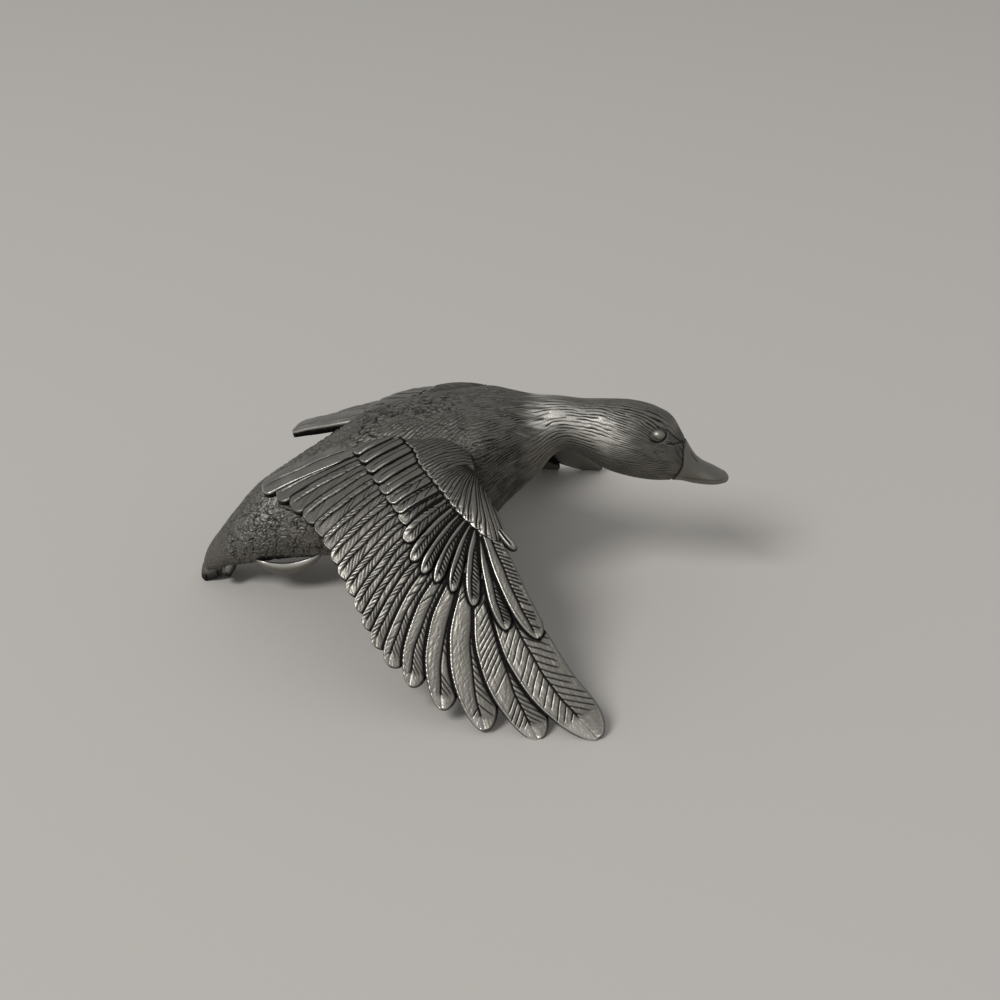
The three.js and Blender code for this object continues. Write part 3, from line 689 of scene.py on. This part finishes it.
def vaneSides(vane, share):
    # half widths on the inner and the outer side: a waist at the root and a rounded tip
    rise = vane["waist"] + (1 - vane["waist"]) * softStep(0, 0.4, share)
    sides = []
    for closing in (vane["innerTip"], vane["outerTip"]):
        late = np.clip((share - 1) * vane["long"] / closing + 1, 0, 1)
        sides.append(vane["width"] / 2 * rise * np.sqrt(np.clip(1 - late ** 2.2, 0.0004, 1)))
    return sides


def vaneBend(vane, share):
    # sideways bow of the shaft, none at either end, and a hook towards the outer side at the tip
    return vane["hook"] * softStep(0.55, 1.05, share) - 4 * vane["bow"] * share * (1 - share)


def shadeFrom(places, vanes, reach):
    # patina and painted shade in the gap beside the vanes that lie over these places
    dark = np.zeros(places.shape[:-1])
    for vane in vanes:
        away = places - vane["base"]
        far = away @ vane["ahead"]
        share = np.clip(far / vane["long"], 0, 1)
        aside = away @ vane["aside"] - vaneBend(vane, share)
        inner, outer = vaneSides(vane, share)
        outside = np.where(aside < 0, -aside - inner, aside - outer)
        beyond = np.maximum(far - vane["long"], 0)
        outside = np.where(beyond > 0, np.hypot(np.maximum(outside, 0), beyond), np.maximum(outside, 0))
        dark = np.maximum(dark, np.where(share > 0.01, bell(outside, reach), 0))
    return dark


carving = {
    "wander": 0.25, "wanderLong": 5.0, "edgeFade": (0.05, 0.35), "tipFade": 1.4, "barbFade": (0.15, 0.4),
    "ropeFade": (0.2, 0.5), "rimIn": 0.65, "rimWide": 0.26, "rimFade": (0.6, 0.85), "beadLong": 0.8,
    "beadLean": 1.2, "foot": (0.03, 0.22), "footStain": 0.75, "faceHighlight": 0.4, "tipHighlight": 1.6,
    "undersideBright": 0.35, "gapShade": 0.97, "capEnd": (25.6, 26.4), "capGap": 0.4, "dive": 1.5, "diveLong": 1.4,
}


def carveVane(vane, far, aside, edge, inner, outer):
    # height, stain and brightness (rubbed wear and painted highlights) over a vane's face from its shaft, the
    # rail beside it, barbs, rims and tip
    share, seed = far / vane["long"], vane["seed"]
    shift = vane["shaftIn"] * np.clip(2 * inner / vane["width"], 0, 1)
    off = aside + shift - carving["wander"] * grainNoise(far / carving["wanderLong"], 0.0, seed)
    fromShaft = np.abs(off)
    across = np.clip(fromShaft / np.maximum(np.where(off < 0, inner - shift, outer + shift), 0.05), 0, 1)
    fade = softStep(*carving["edgeFade"], edge)
    bare = 1 - softStep(vane["bareTip"], vane["bareTip"] + carving["tipFade"], vane["long"] - far)
    shaft = bell(off, vane["shaftWide"]) * (1 - 0.9 * bare) * fade
    barbs, rope = np.zeros(far.shape), np.zeros(far.shape)
    for sign, hand in ((-1, "inner"), (1, "outer")):
        slant = vane[hand + "Slant"]
        jitter = vane["jitter"] * grainNoise(far / 2.4, sign * fromShaft / 1.8, seed + 3)
        lane = (far - slant * fromShaft) / vane["pitch"] + jitter + 0.37 * sign
        number = np.round(lane).astype(np.int64)
        cut = bell((lane - number) * vane["pitch"] / np.hypot(1, slant), vane["barbThin"])
        kept = hashed(number, sign + 3, seed) < vane[hand + "Barb"]
        kept = kept * (vane["barbEven"] + (1 - vane["barbEven"]) * hashed(number, sign + 5, seed))
        ends = 0.7 + 0.5 * hashed(number, sign + 8, seed)  # some barbs stop short of the edge
        cut = cut * kept * (1 - softStep(ends - 0.25, ends, across))
        here = np.sign(off) == sign
        barbs = np.where(here, cut, barbs)
        rope = np.where(here & (sign > 0), 0.5 + 0.5 * np.cos(2 * np.pi * (lane + 0.5)), rope)
    barbs = barbs * (1 - bare) * softStep(*carving["barbFade"], edge)
    vault = 4 * across * (1 - across) * vane["vault"] + (1 - across) * vane["roof"] * (1 - bare)
    scuff = grainNoise(far / 2.2, off / 0.35, seed + 7)
    scuff = scuff + grainNoise((far - 1.5 * fromShaft) / 0.5, (far + fromShaft) / 2.5, seed + 8)
    rail = bell(off + vane["railOff"], vane["railWide"]) * fade * (1 - 0.4 * bare)
    rope = rope * vane["rope"] * (1 - bare) * softStep(*carving["ropeFade"], edge)
    height = fade * (vault + vane["scuff"] * scuff) + rope + vane["railHigh"] * rail
    height = height - vane["shaftDeep"] * shaft - vane["barbDeep"] * barbs
    # the rim is raised and brightened: rubbed wear on the raised edge and a painted highlight on the edge
    # that faces the lamp
    rim = bell(edge - carving["rimIn"] * vane["round"], carving["rimWide"])
    rim = rim * np.where(aside < 0, vane["innerRim"], vane["outerRim"])
    rim = rim * (1 - vane["rimEnd"] * (1 - softStep(*carving["rimFade"], share)))
    beads = 0.5 + 0.5 * np.cos(2 * np.pi * (far - carving["beadLean"] * aside) / carving["beadLong"])
    rim = rim * (1 - vane["bead"] * beads * (aside < 0))
    height = height + vane["rimHigh"] * rim
    # painted highlight on the bare tip, strongest on its inner half
    tipShine = vane["tipShine"] * bare * (1 - 0.8 * softStep(-0.8, 0.8, aside))
    rim = np.maximum(rim, carving["tipHighlight"] * tipShine * bell(edge - 0.4, 0.4))
    foot = 1 - softStep(*carving["foot"], edge)  # patina stays low on the edges
    stain = np.maximum.reduce([shaft, vane["barbStain"] * barbs, carving["footStain"] * foot])
    streak = np.clip(0.6 + 0.9 * grainNoise(far / 3, off / 0.4, seed + 9), 0, 1.3)
    # painted sheen on the faces, brighter on the half that faces the lamp, and a painted highlight along the
    # raised rail, partly rubbed wear
    face = carving["faceHighlight"] * np.where(off < 0, vane["innerShine"], vane["outerShine"])
    face = face * streak * softStep(0.15, 0.4, across) * (1 - barbs)
    railShine = vane["railShine"] * rail * streak * softStep(0.25, 0.9, share)
    return height, stain, np.maximum.reduce([rim, tipShine, face, railShine])


def vaneSkin(vane, place, covers, capped):
    # a round-edged plate carried along the vane: its face rises as a quarter round from the outline
    rows = max(int(vane["long"] / vane["step"]), 30)
    share = (1 - (1 - np.linspace(0, 1, rows)) ** 1.3)[:, None]  # closer towards the tip
    faces = max(int(vane["width"] / vane["step"]), 14)
    lean = np.linspace(-1, 1, faces)
    topS = np.sign(lean) * (1 - (1 - np.abs(lean)) ** 1.25)  # closer towards both edges
    lowS = np.linspace(1, -1, 9)[1:-1]
    s = np.concatenate([topS, lowS])[None, :]
    isTop = np.concatenate([np.ones(faces), np.zeros(len(lowS))])[None, :]
    inner, outer = vaneSides(vane, share)
    aside = np.where(s < 0, s * inner, s * outer)
    share = np.broadcast_to(share, aside.shape)
    far = share * vane["long"]
    spot = (vane["base"] + far[..., None] * vane["ahead"]
            + (aside + vaneBend(vane, share))[..., None] * vane["aside"])
    edge = np.minimum(np.minimum(inner + aside, outer - aside), 1.1 * (vane["long"] - far) + 0.006)
    pill = quarterRound(edge, vane["round"])
    slim = vane["thick"] * (1 - 0.3 * softStep(0.7, 1, share))
    roll = -s * vane["roll"] * np.clip(np.minimum(inner, outer) / (vane["width"] / 2), 0, 1)
    height, stain, rubAndHighlight = carveVane(vane, far, aside, edge, inner, outer)
    lift = vane["rootLift"] + (vane["lift"] - vane["rootLift"]) * np.clip(1.25 * share, 0, 1)
    lift = lift + roll + slim * (isTop * pill - 0.5) + isTop * height
    # painted shade, with patina, beside the edges of the feathers that lie over this one and under the cap's
    # free edge
    dark = shadeFrom(spot, covers, vane["gap"])
    if capped:
        behind = capEdge(spot[..., 0]) - spot[..., 1]
        near = 1 - softStep(*carving["capEnd"], spot[..., 0])
        dark = np.maximum(dark, near * bell(np.maximum(behind, 0), carving["capGap"]))
        under = near * softStep(0, carving["diveLong"], -behind)
        lift = lift - carving["dive"] * under  # the roots dive under the cap
    stain = np.maximum(stain * isTop, carving["gapShade"] * dark)
    # undersides brightened: partly bare metal free of patina, partly painted light on faces that sit in shade
    rubAndHighlight = (rubAndHighlight * isTop + carving["undersideBright"] * (1 - isTop)) * (1 - dark)
    return place(spot[..., 0], spot[..., 1], lift), stain, rubAndHighlight


flights = {
    "count": 18, "seed": 100, "uneven": 0.3,
    # the far wing's first feather ends earlier and higher
    "shortened": {"right": 0.0, "left": 3.0}, "raised": {"right": 0.0, "left": 1.1},
    "varied": {
        "tipOut": {0: 3.1, 1: 7.9, 4: 21.3, 8: 36, 13: 54.2, 15: 62.2, 16: 63.9, 17: 63.7},
        "tipAhead": {0: -38, 1: -34.2, 4: -24.4, 8: -16.8, 13: -5.4, 15: 7.8, 16: 17.6, 17: 28.4},
        "baseOut": {0: -2.8, 1: 0.8, 4: 9, 8: 20, 13: 31, 17: 36},
        "baseAhead": {0: -14, 1: -12.4, 4: -8, 8: -3, 13: 2, 17: 10.4},
        "width": {0: 7.4, 1: 6.3, 2: 6, 3: 5.3, 5: 4.9, 8: 4.8, 12: 4.9, 13: 5.6, 15: 8.2, 17: 9.4},
        "innerTip": {0: 1.6, 6: 1.8, 10: 2.2, 12: 4, 13: 8, 15: 15, 17: 18},
        "outerTip": {0: 1.8, 11: 2, 12: 2.6, 13: 5, 15: 9.5, 16: 9.5, 17: 9},
        "pitch": {0: 1.1, 11: 1.1, 13: 1.05, 15: 1.2, 16: 1.3, 17: 1.65},
        "innerSlant": {0: 2.2, 4: 1.7, 8: 1.5, 11: 1.45, 13: 1.3, 16: 1.1, 17: 1.05},
        "outerSlant": {0: 2.2, 4: 1.7, 8: 1.5, 11: 1.4, 13: 1.2, 17: 1.05},
        "innerBarb": {0: 0, 1: 0.4, 2: 0.75, 5: 0.9, 11: 0.9, 12: 0.5, 13: 0.1, 15: 0.15, 16: 0.85, 17: 1},
        "outerBarb": {0: 0, 1: 0.3, 3: 0.5, 5: 0.85, 11: 0.9, 15: 0.75, 16: 0.97, 17: 1},
        "barbEven": {0: 0.1, 5: 0.35, 11: 0.5, 14: 0.85, 17: 1},
        "barbDeep": {0: 0.06, 2: 0.1, 4: 0.14, 12: 0.16, 14: 0.17, 17: 0.17},
        "barbStain": {0: 0.5, 2: 0.8, 4: 1, 17: 1},
        "jitter": {0: 0.4, 5: 0.36, 11: 0.3, 14: 0.12, 15: 0.08, 17: 0.07},
        "round": {0: 0.3, 11: 0.32, 14: 0.5, 17: 0.5},
        "vault": {0: 0.02, 11: 0.03, 14: 0.1, 17: 0.1},
        "roof": {0: 0.02, 11: 0.05, 14: 0.12, 17: 0.12},
        "railHigh": {0: 0.1, 4: 0.16, 6: 0.08, 11: 0.04, 13: 0, 17: 0},
        "railShine": {0: 0.9, 4: 0.9, 6: 0.6, 11: 0.4, 13: 0, 17: 0},
        "scuff": {0: 0.03, 11: 0.03, 14: 0.02, 17: 0.02},
        "gap": {0: 0.32, 6: 0.4, 11: 0.5, 14: 0.55, 17: 0.55},
        "innerRim": {0: 0.8, 1: 0.3, 6: 0.25, 11: 0.5, 13: 1, 17: 1},
        "outerRim": {0: 0.8, 1: 0.2, 4: 0.15, 17: 0.2},
        "rimEnd": {0: 0.5, 11: 0.6, 13: 0, 17: 0},
        "innerShine": {0: 0.6, 1: 0.45, 9: 0.5, 13: 0.4, 15: 0.4, 17: 0.7},
        "tipShine": {0: 0.05, 11: 0.15, 14: 0.6, 17: 0.75},
        "outerShine": {0: 0.6, 1: 0.35, 8: 0.3, 14: 0.15, 17: 0.3},
        "rimHigh": {0: 0.05, 11: 0.06, 13: 0.15, 17: 0.16},
        "bead": {0: 0, 10: 0, 12: 0.7, 14: 0.7, 15: 0.3, 16: 0, 17: 0},
        "bareTip": {0: 0.6, 11: 1.1, 14: 2, 16: 2.4, 17: 4.6},
        "roll": {0: -0.12, 2: 0.08, 5: 0.24, 17: 0.32},
        "shaftIn": {0: 0.5, 2: 0.6, 4: 0.9, 11: 0.9, 13: 0.5, 15: 0, 17: 0},
        "hook": {0: 0, 11: 0, 13: 0.4, 15: 0.9, 17: 1.2},
        "step": {0: 0.155, 12: 0.14, 15: 0.125, 17: 0.125},
    },
    "fixed": {"thick": 1.7, "lift": 0.0, "rootLift": 0.0, "bow": 1.0, "waist": 0.62,
              "shaftWide": 0.16, "shaftDeep": 0.24, "barbThin": 0.095},
}
coverts = {
    "count": 16, "seed": 700, "uneven": 0.2,
    "varied": {
        "tipOut": {0: 1, 4: 14.6, 7: 22.2, 9: 30.4, 13: 39, 14: 43.4, 15: 44.8},
        "tipAhead": {0: -19.2, 4: -12.5, 7: -8.3, 9: -5.8, 13: 6, 14: 12.2, 15: 18.2},
        "baseOut": {0: -5, 5: 10, 10: 20, 15: 24.5},
        "baseAhead": {0: -9, 5: -1, 10: 4, 15: 8.4},
        "width": {0: 4, 5: 3.6, 6: 3.8, 7: 3.8, 8: 3.2, 9: 2.7, 12: 2.5, 13: 2.9, 14: 3.5, 15: 4.4},
        "innerTip": {0: 1.1, 6: 1.3, 9: 3, 13: 6, 15: 9},
        "outerTip": {0: 0.8, 6: 1.1, 9: 2.2, 13: 3, 15: 4},
        "pitch": {0: 1, 7: 0.95, 10: 0.8, 15: 0.8},
        "innerSlant": {0: 2, 8: 1.5, 15: 1.1}, "outerSlant": {0: 2, 7: 1.5, 10: 1, 15: 0.9},
        "barbEven": {0: 0.2, 8: 0.5, 10: 1, 15: 1},
        "jitter": {0: 0.4, 8: 0.3, 10: 0.14, 15: 0.14},
        "round": {0: 0.24, 7: 0.26, 10: 0.32, 15: 0.4},
        "vault": {0: 0.01, 8: 0.03, 15: 0.05}, "roof": {0: 0, 6: 0.02, 10: 0.06, 15: 0.08},
        "scuff": {0: 0.05, 7: 0.04, 10: 0.02, 15: 0.02},
        "gap": {0: 0.4, 6: 0.45, 9: 0.65, 15: 0.8},
        "shaftDeep": {0: 0.03, 3: 0.05, 5: 0.16, 7: 0.22, 15: 0.22},
        "rimEnd": {0: 0.9, 6: 0.8, 9: 0.4, 15: 0},
        "tipShine": {0: 0.05, 7: 0.3, 9: 0.4, 15: 0.3},
        "innerBarb": {0: 0, 4: 0.1, 5: 0.5, 7: 0.95, 8: 0.5, 9: 0.1, 15: 0},
        "outerBarb": {0: 0, 4: 0.2, 6: 0.8, 9: 1, 13: 1, 15: 0.8},
        "rope": {0: 0, 6: 0.03, 9: 0.14, 14: 0.15, 15: 0.06},
        "innerRim": {0: 0.2, 6: 0.4, 9: 0.7, 12: 0.9, 15: 1},
        "outerRim": {0: 1, 6: 1, 8: 0.4, 15: 0.2},
        "innerShine": {0: 0.1, 6: 0.2, 9: 0.35, 12: 0.4, 14: 0.3, 15: 0.15},
        "outerShine": {0: 0.1, 15: 0.4},
        "rimHigh": {0: 0.06, 8: 0.06, 10: 0.1, 15: 0.15},
        "bareTip": {0: 0.7, 15: 0.8},
        "roll": {0: -0.28, 5: -0.2, 8: 0.1, 15: 0.22},
        "rootLift": {0: 0.2, 4: 0.4, 6: 0.4, 8: 0.1, 12: 0.1, 14: 0.3, 15: 0.4},
        "bow": {0: 0, 5: 0, 8: 0.3, 12: 0.5, 15: 0.5},
        "shaftIn": {0: 0, 6: 0, 8: 0.2, 15: 0.2},
    },
    "fixed": {"thick": 1.5, "lift": 1.1, "waist": 0.75, "shaftWide": 0.16, "barbDeep": 0.18, "step": 0.135},
}
# what a vane has where its own row says nothing else
plainVane = {
    "width": 2.3, "innerTip": 1.8, "outerTip": 1.6, "thick": 1.3, "lift": 0.75, "rootLift": 0.75, "bow": 0.0,
    "hook": 0.0, "waist": 0.8, "round": 0.6, "step": 0.15, "roll": 0.0, "vault": 0.1, "roof": 0.1,
    "rope": 0.0, "jitter": 0.1, "shaftWide": 0.17, "shaftDeep": 0.12, "pitch": 0.9, "innerSlant": 1.0,
    "outerSlant": 1.0, "innerBarb": 0.0, "outerBarb": 0.0, "barbThin": 0.12, "barbDeep": 0.1, "bareTip": 0.6,
    "innerRim": 0.6, "outerRim": 0.3, "innerShine": 0.3, "outerShine": 0.3, "scuff": 0.03, "tipShine": 0.1,
    "barbEven": 1.0, "barbStain": 1.0, "railHigh": 0.0, "railShine": 0.0, "railOff": 0.42, "railWide": 0.26,
    "gap": 0.4, "rimEnd": 0.0, "rimHigh": 0.05, "bead": 0.0, "shaftIn": 0.0,
}
alula = {
    "base": (24.2, 10.2), "tip": (28, 13.4), "seed": 950,
    "vane": {"width": 1.9, "innerRim": 0.35, "outerRim": 0.2},
}


def capSkin(place):
    # stations root to wrist, each a section from the leading edge over the crown to a scalloped free edge
    cap = shoulderCap
    station = np.linspace(0, len(cap["out"]) - 1, cap["rows"])
    keys = np.arange(len(cap["out"]))
    out, front, backOut, back, crown, depth = (
        smoothLine(keys, cap[key], station)[:, None]
        for key in ("out", "front", "backOut", "back", "crown", "depth"))
    over = 1 - (1 - np.linspace(0, 1, cap["faces"])) ** 1.3
    share = np.concatenate([over, np.linspace(1, 0, cap["under"] + 2)[1:-1]])[None, :]
    isTop = np.concatenate([np.ones(cap["faces"]), np.zeros(cap["under"])])[None, :]
    length = np.concatenate([[0], np.cumsum(np.hypot(np.diff(backOut[:, 0]), np.diff(back[:, 0])))])[:, None]
    lobes = np.abs(np.sin(np.pi * length / cap["scallop"])) ** 0.6
    chord = np.maximum(np.hypot(front - back, out - backOut), 2)
    reach = 1 + (lobes - 0.6) * cap["scallopReach"] / chord * softStep(0.5, 1, share)
    spotOut = out + (backOut - out) * share * reach
    spotAhead = front + (back - front) * share * reach
    rise = capRise(share)
    under = np.interp(share, [0, 0.15, 0.6, 1], [0.15, 1, 1, 0.2])
    edge = (1 - share) * chord
    pill = quarterRound(edge, cap["edgeRound"])
    lines = capLines(spotOut, spotAhead) * softStep(0.25, 0.7, edge) * isTop
    notch = bell(edge, 0.9) * (1 - softStep(0.05, 0.4, lobes)) * isTop
    # painted highlight on the rounded lobes of the free edge, partly rubbed wear
    rim = bell(edge - 0.28, 0.32) * softStep(0.4, 0.7, lobes) * isTop
    face = rise * crown * (0.2 + 0.8 * pill) - cap["lineDepth"] * lines - cap["notchDepth"] * notch
    height = face * isTop - under * depth * (1 - isTop)
    stain = np.maximum(0.75 * lines, 0.9 * notch)
    # the underside is brightened as well: partly bare metal, partly painted light on faces in shade
    return place(spotOut, spotAhead, height), stain, 0.95 * rim * (1 - notch) + 0.35 * (1 - isTop)


def buildWing(hand, side):
    def place(out, forward, height):
        points = wingPoint(side, out, forward, height)
        points[..., 2] = np.maximum(points[..., 2], 0)  # stands on the table
        return points
    flightVanes, covertVanes = featherRow(flights), featherRow(coverts)
    flightVanes[0]["long"] -= flights["shortened"][hand]
    flightVanes[0]["lift"] += flights["raised"][hand]
    thumb = makeVane(alula["base"], alula["tip"], alula["seed"], {**plainVane, **alula["vane"]})
    node = hand + "_wing"
    flightSkins = [vaneSkin(v, place, overlying(flightVanes, i) + covertVanes, True)
                   for i, v in enumerate(flightVanes)]
    covertSkins = [vaneSkin(v, place, overlying(covertVanes, i), True) for i, v in enumerate(covertVanes)]
    for name, skins in (
        ("_inner_flights", flightSkins[:12]),
        ("_outer_flights", flightSkins[12:]),
        ("_coverts", covertSkins),
        ("_shoulder", [capSkin(place), vaneSkin(thumb, place, [], False)]),
    ):
        makePiece(hand + name, skins, feathered, "feathered_pewter", node)


for hand, side in (("right", -1), ("left", 1)):
    buildWing(hand, side)


# Tail fan: three plain lobes that run on down the slope of the rump to the table

tail = {
    "rump": -52.5, "tipHeight": 2.1, "rise": 0.31, "dish": 0.01,
    # per lobe: root ahead of the rump's end and aside, tip behind it and aside, width, thickness, root's lift
    "lobes": [(3.5, 0, 2.72, 0, 5.8, 4.6, 0), (6, 2.6, -3, 5, 3.4, 3.4, 3.2),
              (6, -2.6, -3, -5, 3.4, 3.4, 3.2)],
    "grain": 0.6, "pitted": 0.07,
    "lobe": {"round": 1.7, "innerTip": 1.8, "outerTip": 1.8, "bareTip": 2.0, "waist": 0.9,
             "lift": -0.4, "innerRim": 0.0, "outerRim": 0.0, "shaftDeep": 0.03, "step": 0.16,
             "scuff": 0.13, "tipShine": 0.0, "innerShine": 0.0, "outerShine": 0.0},
}


def tailPlace(x, y, height):
    # a height over the sloping, dished tail sheet, kept above the table
    rise = tail["rise"] * (x - tail["rump"] + tail["lobes"][0][2])
    return np.stack([x, y, np.maximum(tail["tipHeight"] + rise + tail["dish"] * y * y + height, 0)], -1)


def buildTail():
    skins = []
    for n, (inset, baseY, behind, tipY, width, thick, rootLift) in enumerate(tail["lobes"]):
        lobe = makeVane((tail["rump"] + inset, baseY), (tail["rump"] - behind, tipY), 980 + n,
                        {**plainVane, **tail["lobe"], "width": width, "thick": thick, "rootLift": rootLift})
        points, stain, rubAndHighlight = vaneSkin(lobe, tailPlace, [], False)
        x, y, z = np.moveaxis(points, -1, 0)
        pits = grainNoise((x + 0.7 * z) / tail["grain"], (y - 0.4 * z) / tail["grain"], 990)
        points = raised(points, tail["pitted"] * pits)
        points[..., 2] = points[..., 2].clip(0)
        skins.append((points, stain + 0.3 * softStep(0.1, 0.6, pits), rubAndHighlight))
    makePiece("tail_lobes", skins, antiqued, "antiqued_pewter", "tail_fan")


buildTail()


# Feet: smooth curled paddles tucked back under the rump

feet = {
    "heel": -27.6, "reach": 6.4, "height": 6.35, "curl": 2.3, "pitch": 2.1, "roll": 35.0,
    "keel": 0.75, "crown": 0.22,
    "back": [0, 2.8, 6.4, 10, 12.7, 14.6], "half": [0.8, 1.7, 2.6, 3.4, 3.3, 2],
    "thick": [0.9, 2, 2.5, 2.3, 1.6, 0.8],
    "rows": 110, "around": 72,
}


def buildFoot(hand, side):
    # a keel carried back along a shallow curve: half an ellipse below, a low flat crown above, round ends
    back = feet["back"][-1] * (1 - np.cos(np.linspace(0, np.pi, feet["rows"]))) / 2
    share = back / feet["back"][-1]
    rounding = np.sqrt(np.clip(1 - np.abs(2 * share - 1) ** 8, 0.01, 1))
    half = smoothLine(feet["back"], feet["half"], back) * rounding
    thick = smoothLine(feet["back"], feet["thick"], back) * rounding
    height = feet["height"] + feet["curl"] * (2 * share - 1) ** 2 - feet["pitch"] / 2 * (2 * share - 1)
    turn = np.linspace(0, 2 * np.pi, feet["around"], endpoint=False)
    up = thick[:, None] * np.where(np.sin(turn) > 0, feet["crown"], feet["keel"]) * np.sin(turn)
    out = half[:, None] * np.cos(turn)
    roll = np.radians(feet["roll"])
    points = np.stack(np.broadcast_arrays(
        (feet["heel"] - back)[:, None],
        side * (feet["reach"] + out * np.cos(roll) - up * np.sin(roll)),
        height[:, None] + out * np.sin(roll) + up * np.cos(roll),
    ), -1)
    # painted highlight along the paddle's near upper rim and painted shade on its top face, which lies under
    # the body
    rim = bell(np.sin(turn) + 0.15, 0.3) * np.ones((len(back), 1))
    stain = 0.8 * softStep(0.2, 0.7, np.sin(turn)) * np.ones((len(back), 1))
    makePiece(hand + "_paddle", [(points, stain, rim)], rubbed, "rubbed_pewter", hand + "_foot")


# Eyes: plain domes set in their cut rings

eyes = {"radius": 1.48, "proud": 0.72, "rings": 40, "around": 64}


def buildEye(hand, side):
    # a ball lying under the head's skin, stained round its foot and a little rubbed on its dome
    x, z = body["eye"]
    low, high, half = (smoothLine(body["x"], body[key], np.float64(x)) for key in ("low", "high", "half"))
    skin = half * np.sqrt(1 - ((2 * z - low - high) / (high - low)) ** 2)
    turn = np.linspace(0, 2 * np.pi, eyes["around"], endpoint=False)
    polar = np.linspace(0.04, np.pi - 0.04, eyes["rings"])[:, None]
    ball = np.stack(np.broadcast_arrays(
        np.sin(polar) * np.cos(turn),
        side * np.cos(polar),
        body["eyeFlat"] * np.sin(polar) * np.sin(turn),
    ), -1)
    middle = np.array([x, side * (skin + eyes["proud"] - eyes["radius"]), z])
    points = middle + eyes["radius"] * ball
    stain = np.broadcast_to(0.7 * softStep(0.85, 1.3, polar), points.shape[:2])
    rubAndHighlight = np.full(points.shape[:2], 0.1)
    makePiece(hand + "_eye_dome", [(points, stain, rubAndHighlight)], rubbed, "rubbed_pewter", hand + "_eye")


for hand, side in (("right", -1), ("left", 1)):
    buildFoot(hand, side)
    buildEye(hand, side)


# Floor, light and camera

studio = {
    "floor": (0.452, 0.433, 0.405, 1), "floorSize": 4.0, "floorRough": 0.7, "floorSpecular": 0.2,
    "world": (0.5, 0.5, 0.5, 1), "worldStrength": 1.0,
    "lamp": (-1.2, -1.45, 1.95), "lampSize": 1.05, "lampPower": 50.0,
}


def buildFloor():
    half = studio["floorSize"] / 2
    mesh = bpy.data.meshes.new("floor")
    corners = [(-half, -half, 0), (half, -half, 0), (half, half, 0), (-half, half, 0)]
    mesh.from_pydata(corners, [], [(0, 1, 2, 3)])
    floor = addObject("floor", mesh)
    paint = bpy.data.materials.new("floor_paint")
    paint.use_nodes = True
    shader = paint.node_tree.nodes["Principled BSDF"]
    shader.inputs["Base Color"].default_value = studio["floor"]
    shader.inputs["Roughness"].default_value = studio["floorRough"]
    shader.inputs["Specular IOR Level"].default_value = studio["floorSpecular"]
    mesh.materials.append(paint)


def buildLight():
    lamp = bpy.data.lights.new("ceiling_lamp", "AREA")
    lamp.shape, lamp.size, lamp.energy = "DISK", studio["lampSize"], studio["lampPower"]
    holder = addObject("ceiling_lamp", lamp)
    toMiddle = -np.array(studio["lamp"])
    holder.location = studio["lamp"]
    holder.rotation_euler = (np.arctan2(np.hypot(toMiddle[0], toMiddle[1]), -toMiddle[2]), 0,
                             np.arctan2(-toMiddle[0], toMiddle[1]))
    world = bpy.data.worlds.new("studio")
    world.use_nodes = True
    sky = world.node_tree.nodes["Background"]
    sky.inputs["Color"].default_value = studio["world"]
    sky.inputs["Strength"].default_value = studio["worldStrength"]
    bpy.context.scene.world = world


view = {"place": (24.1, -294.7, 169.9), "pitch": 27.0, "turn": 3.0, "lens": 57.6, "sensor": 36.0}


def buildCamera():
    camera = bpy.data.cameras.new("photo_view")
    camera.lens, camera.sensor_width = view["lens"], view["sensor"]
    camera.clip_start, camera.clip_end = 0.01, 20.0
    holder = addObject("photo_view", camera)
    pitch, turn = np.radians([view["pitch"], view["turn"]])
    back = np.array([np.sin(turn) * np.cos(pitch), -np.cos(turn) * np.cos(pitch), np.sin(pitch)])
    right = np.array([np.cos(turn), np.sin(turn), 0])
    up = np.cross(back, right)
    frameOf = np.eye(4)
    frameOf[:3, 0], frameOf[:3, 1], frameOf[:3, 2] = right, up, back
    frameOf[:3, 3] = np.array(view["place"]) * mm
    holder.matrix_world = Matrix(frameOf.tolist())
    bpy.context.scene.camera = holder


buildFloor()
buildLight()
buildCamera()
bpy.context.scene.view_settings.view_transform = "Standard"
print("studio ready")
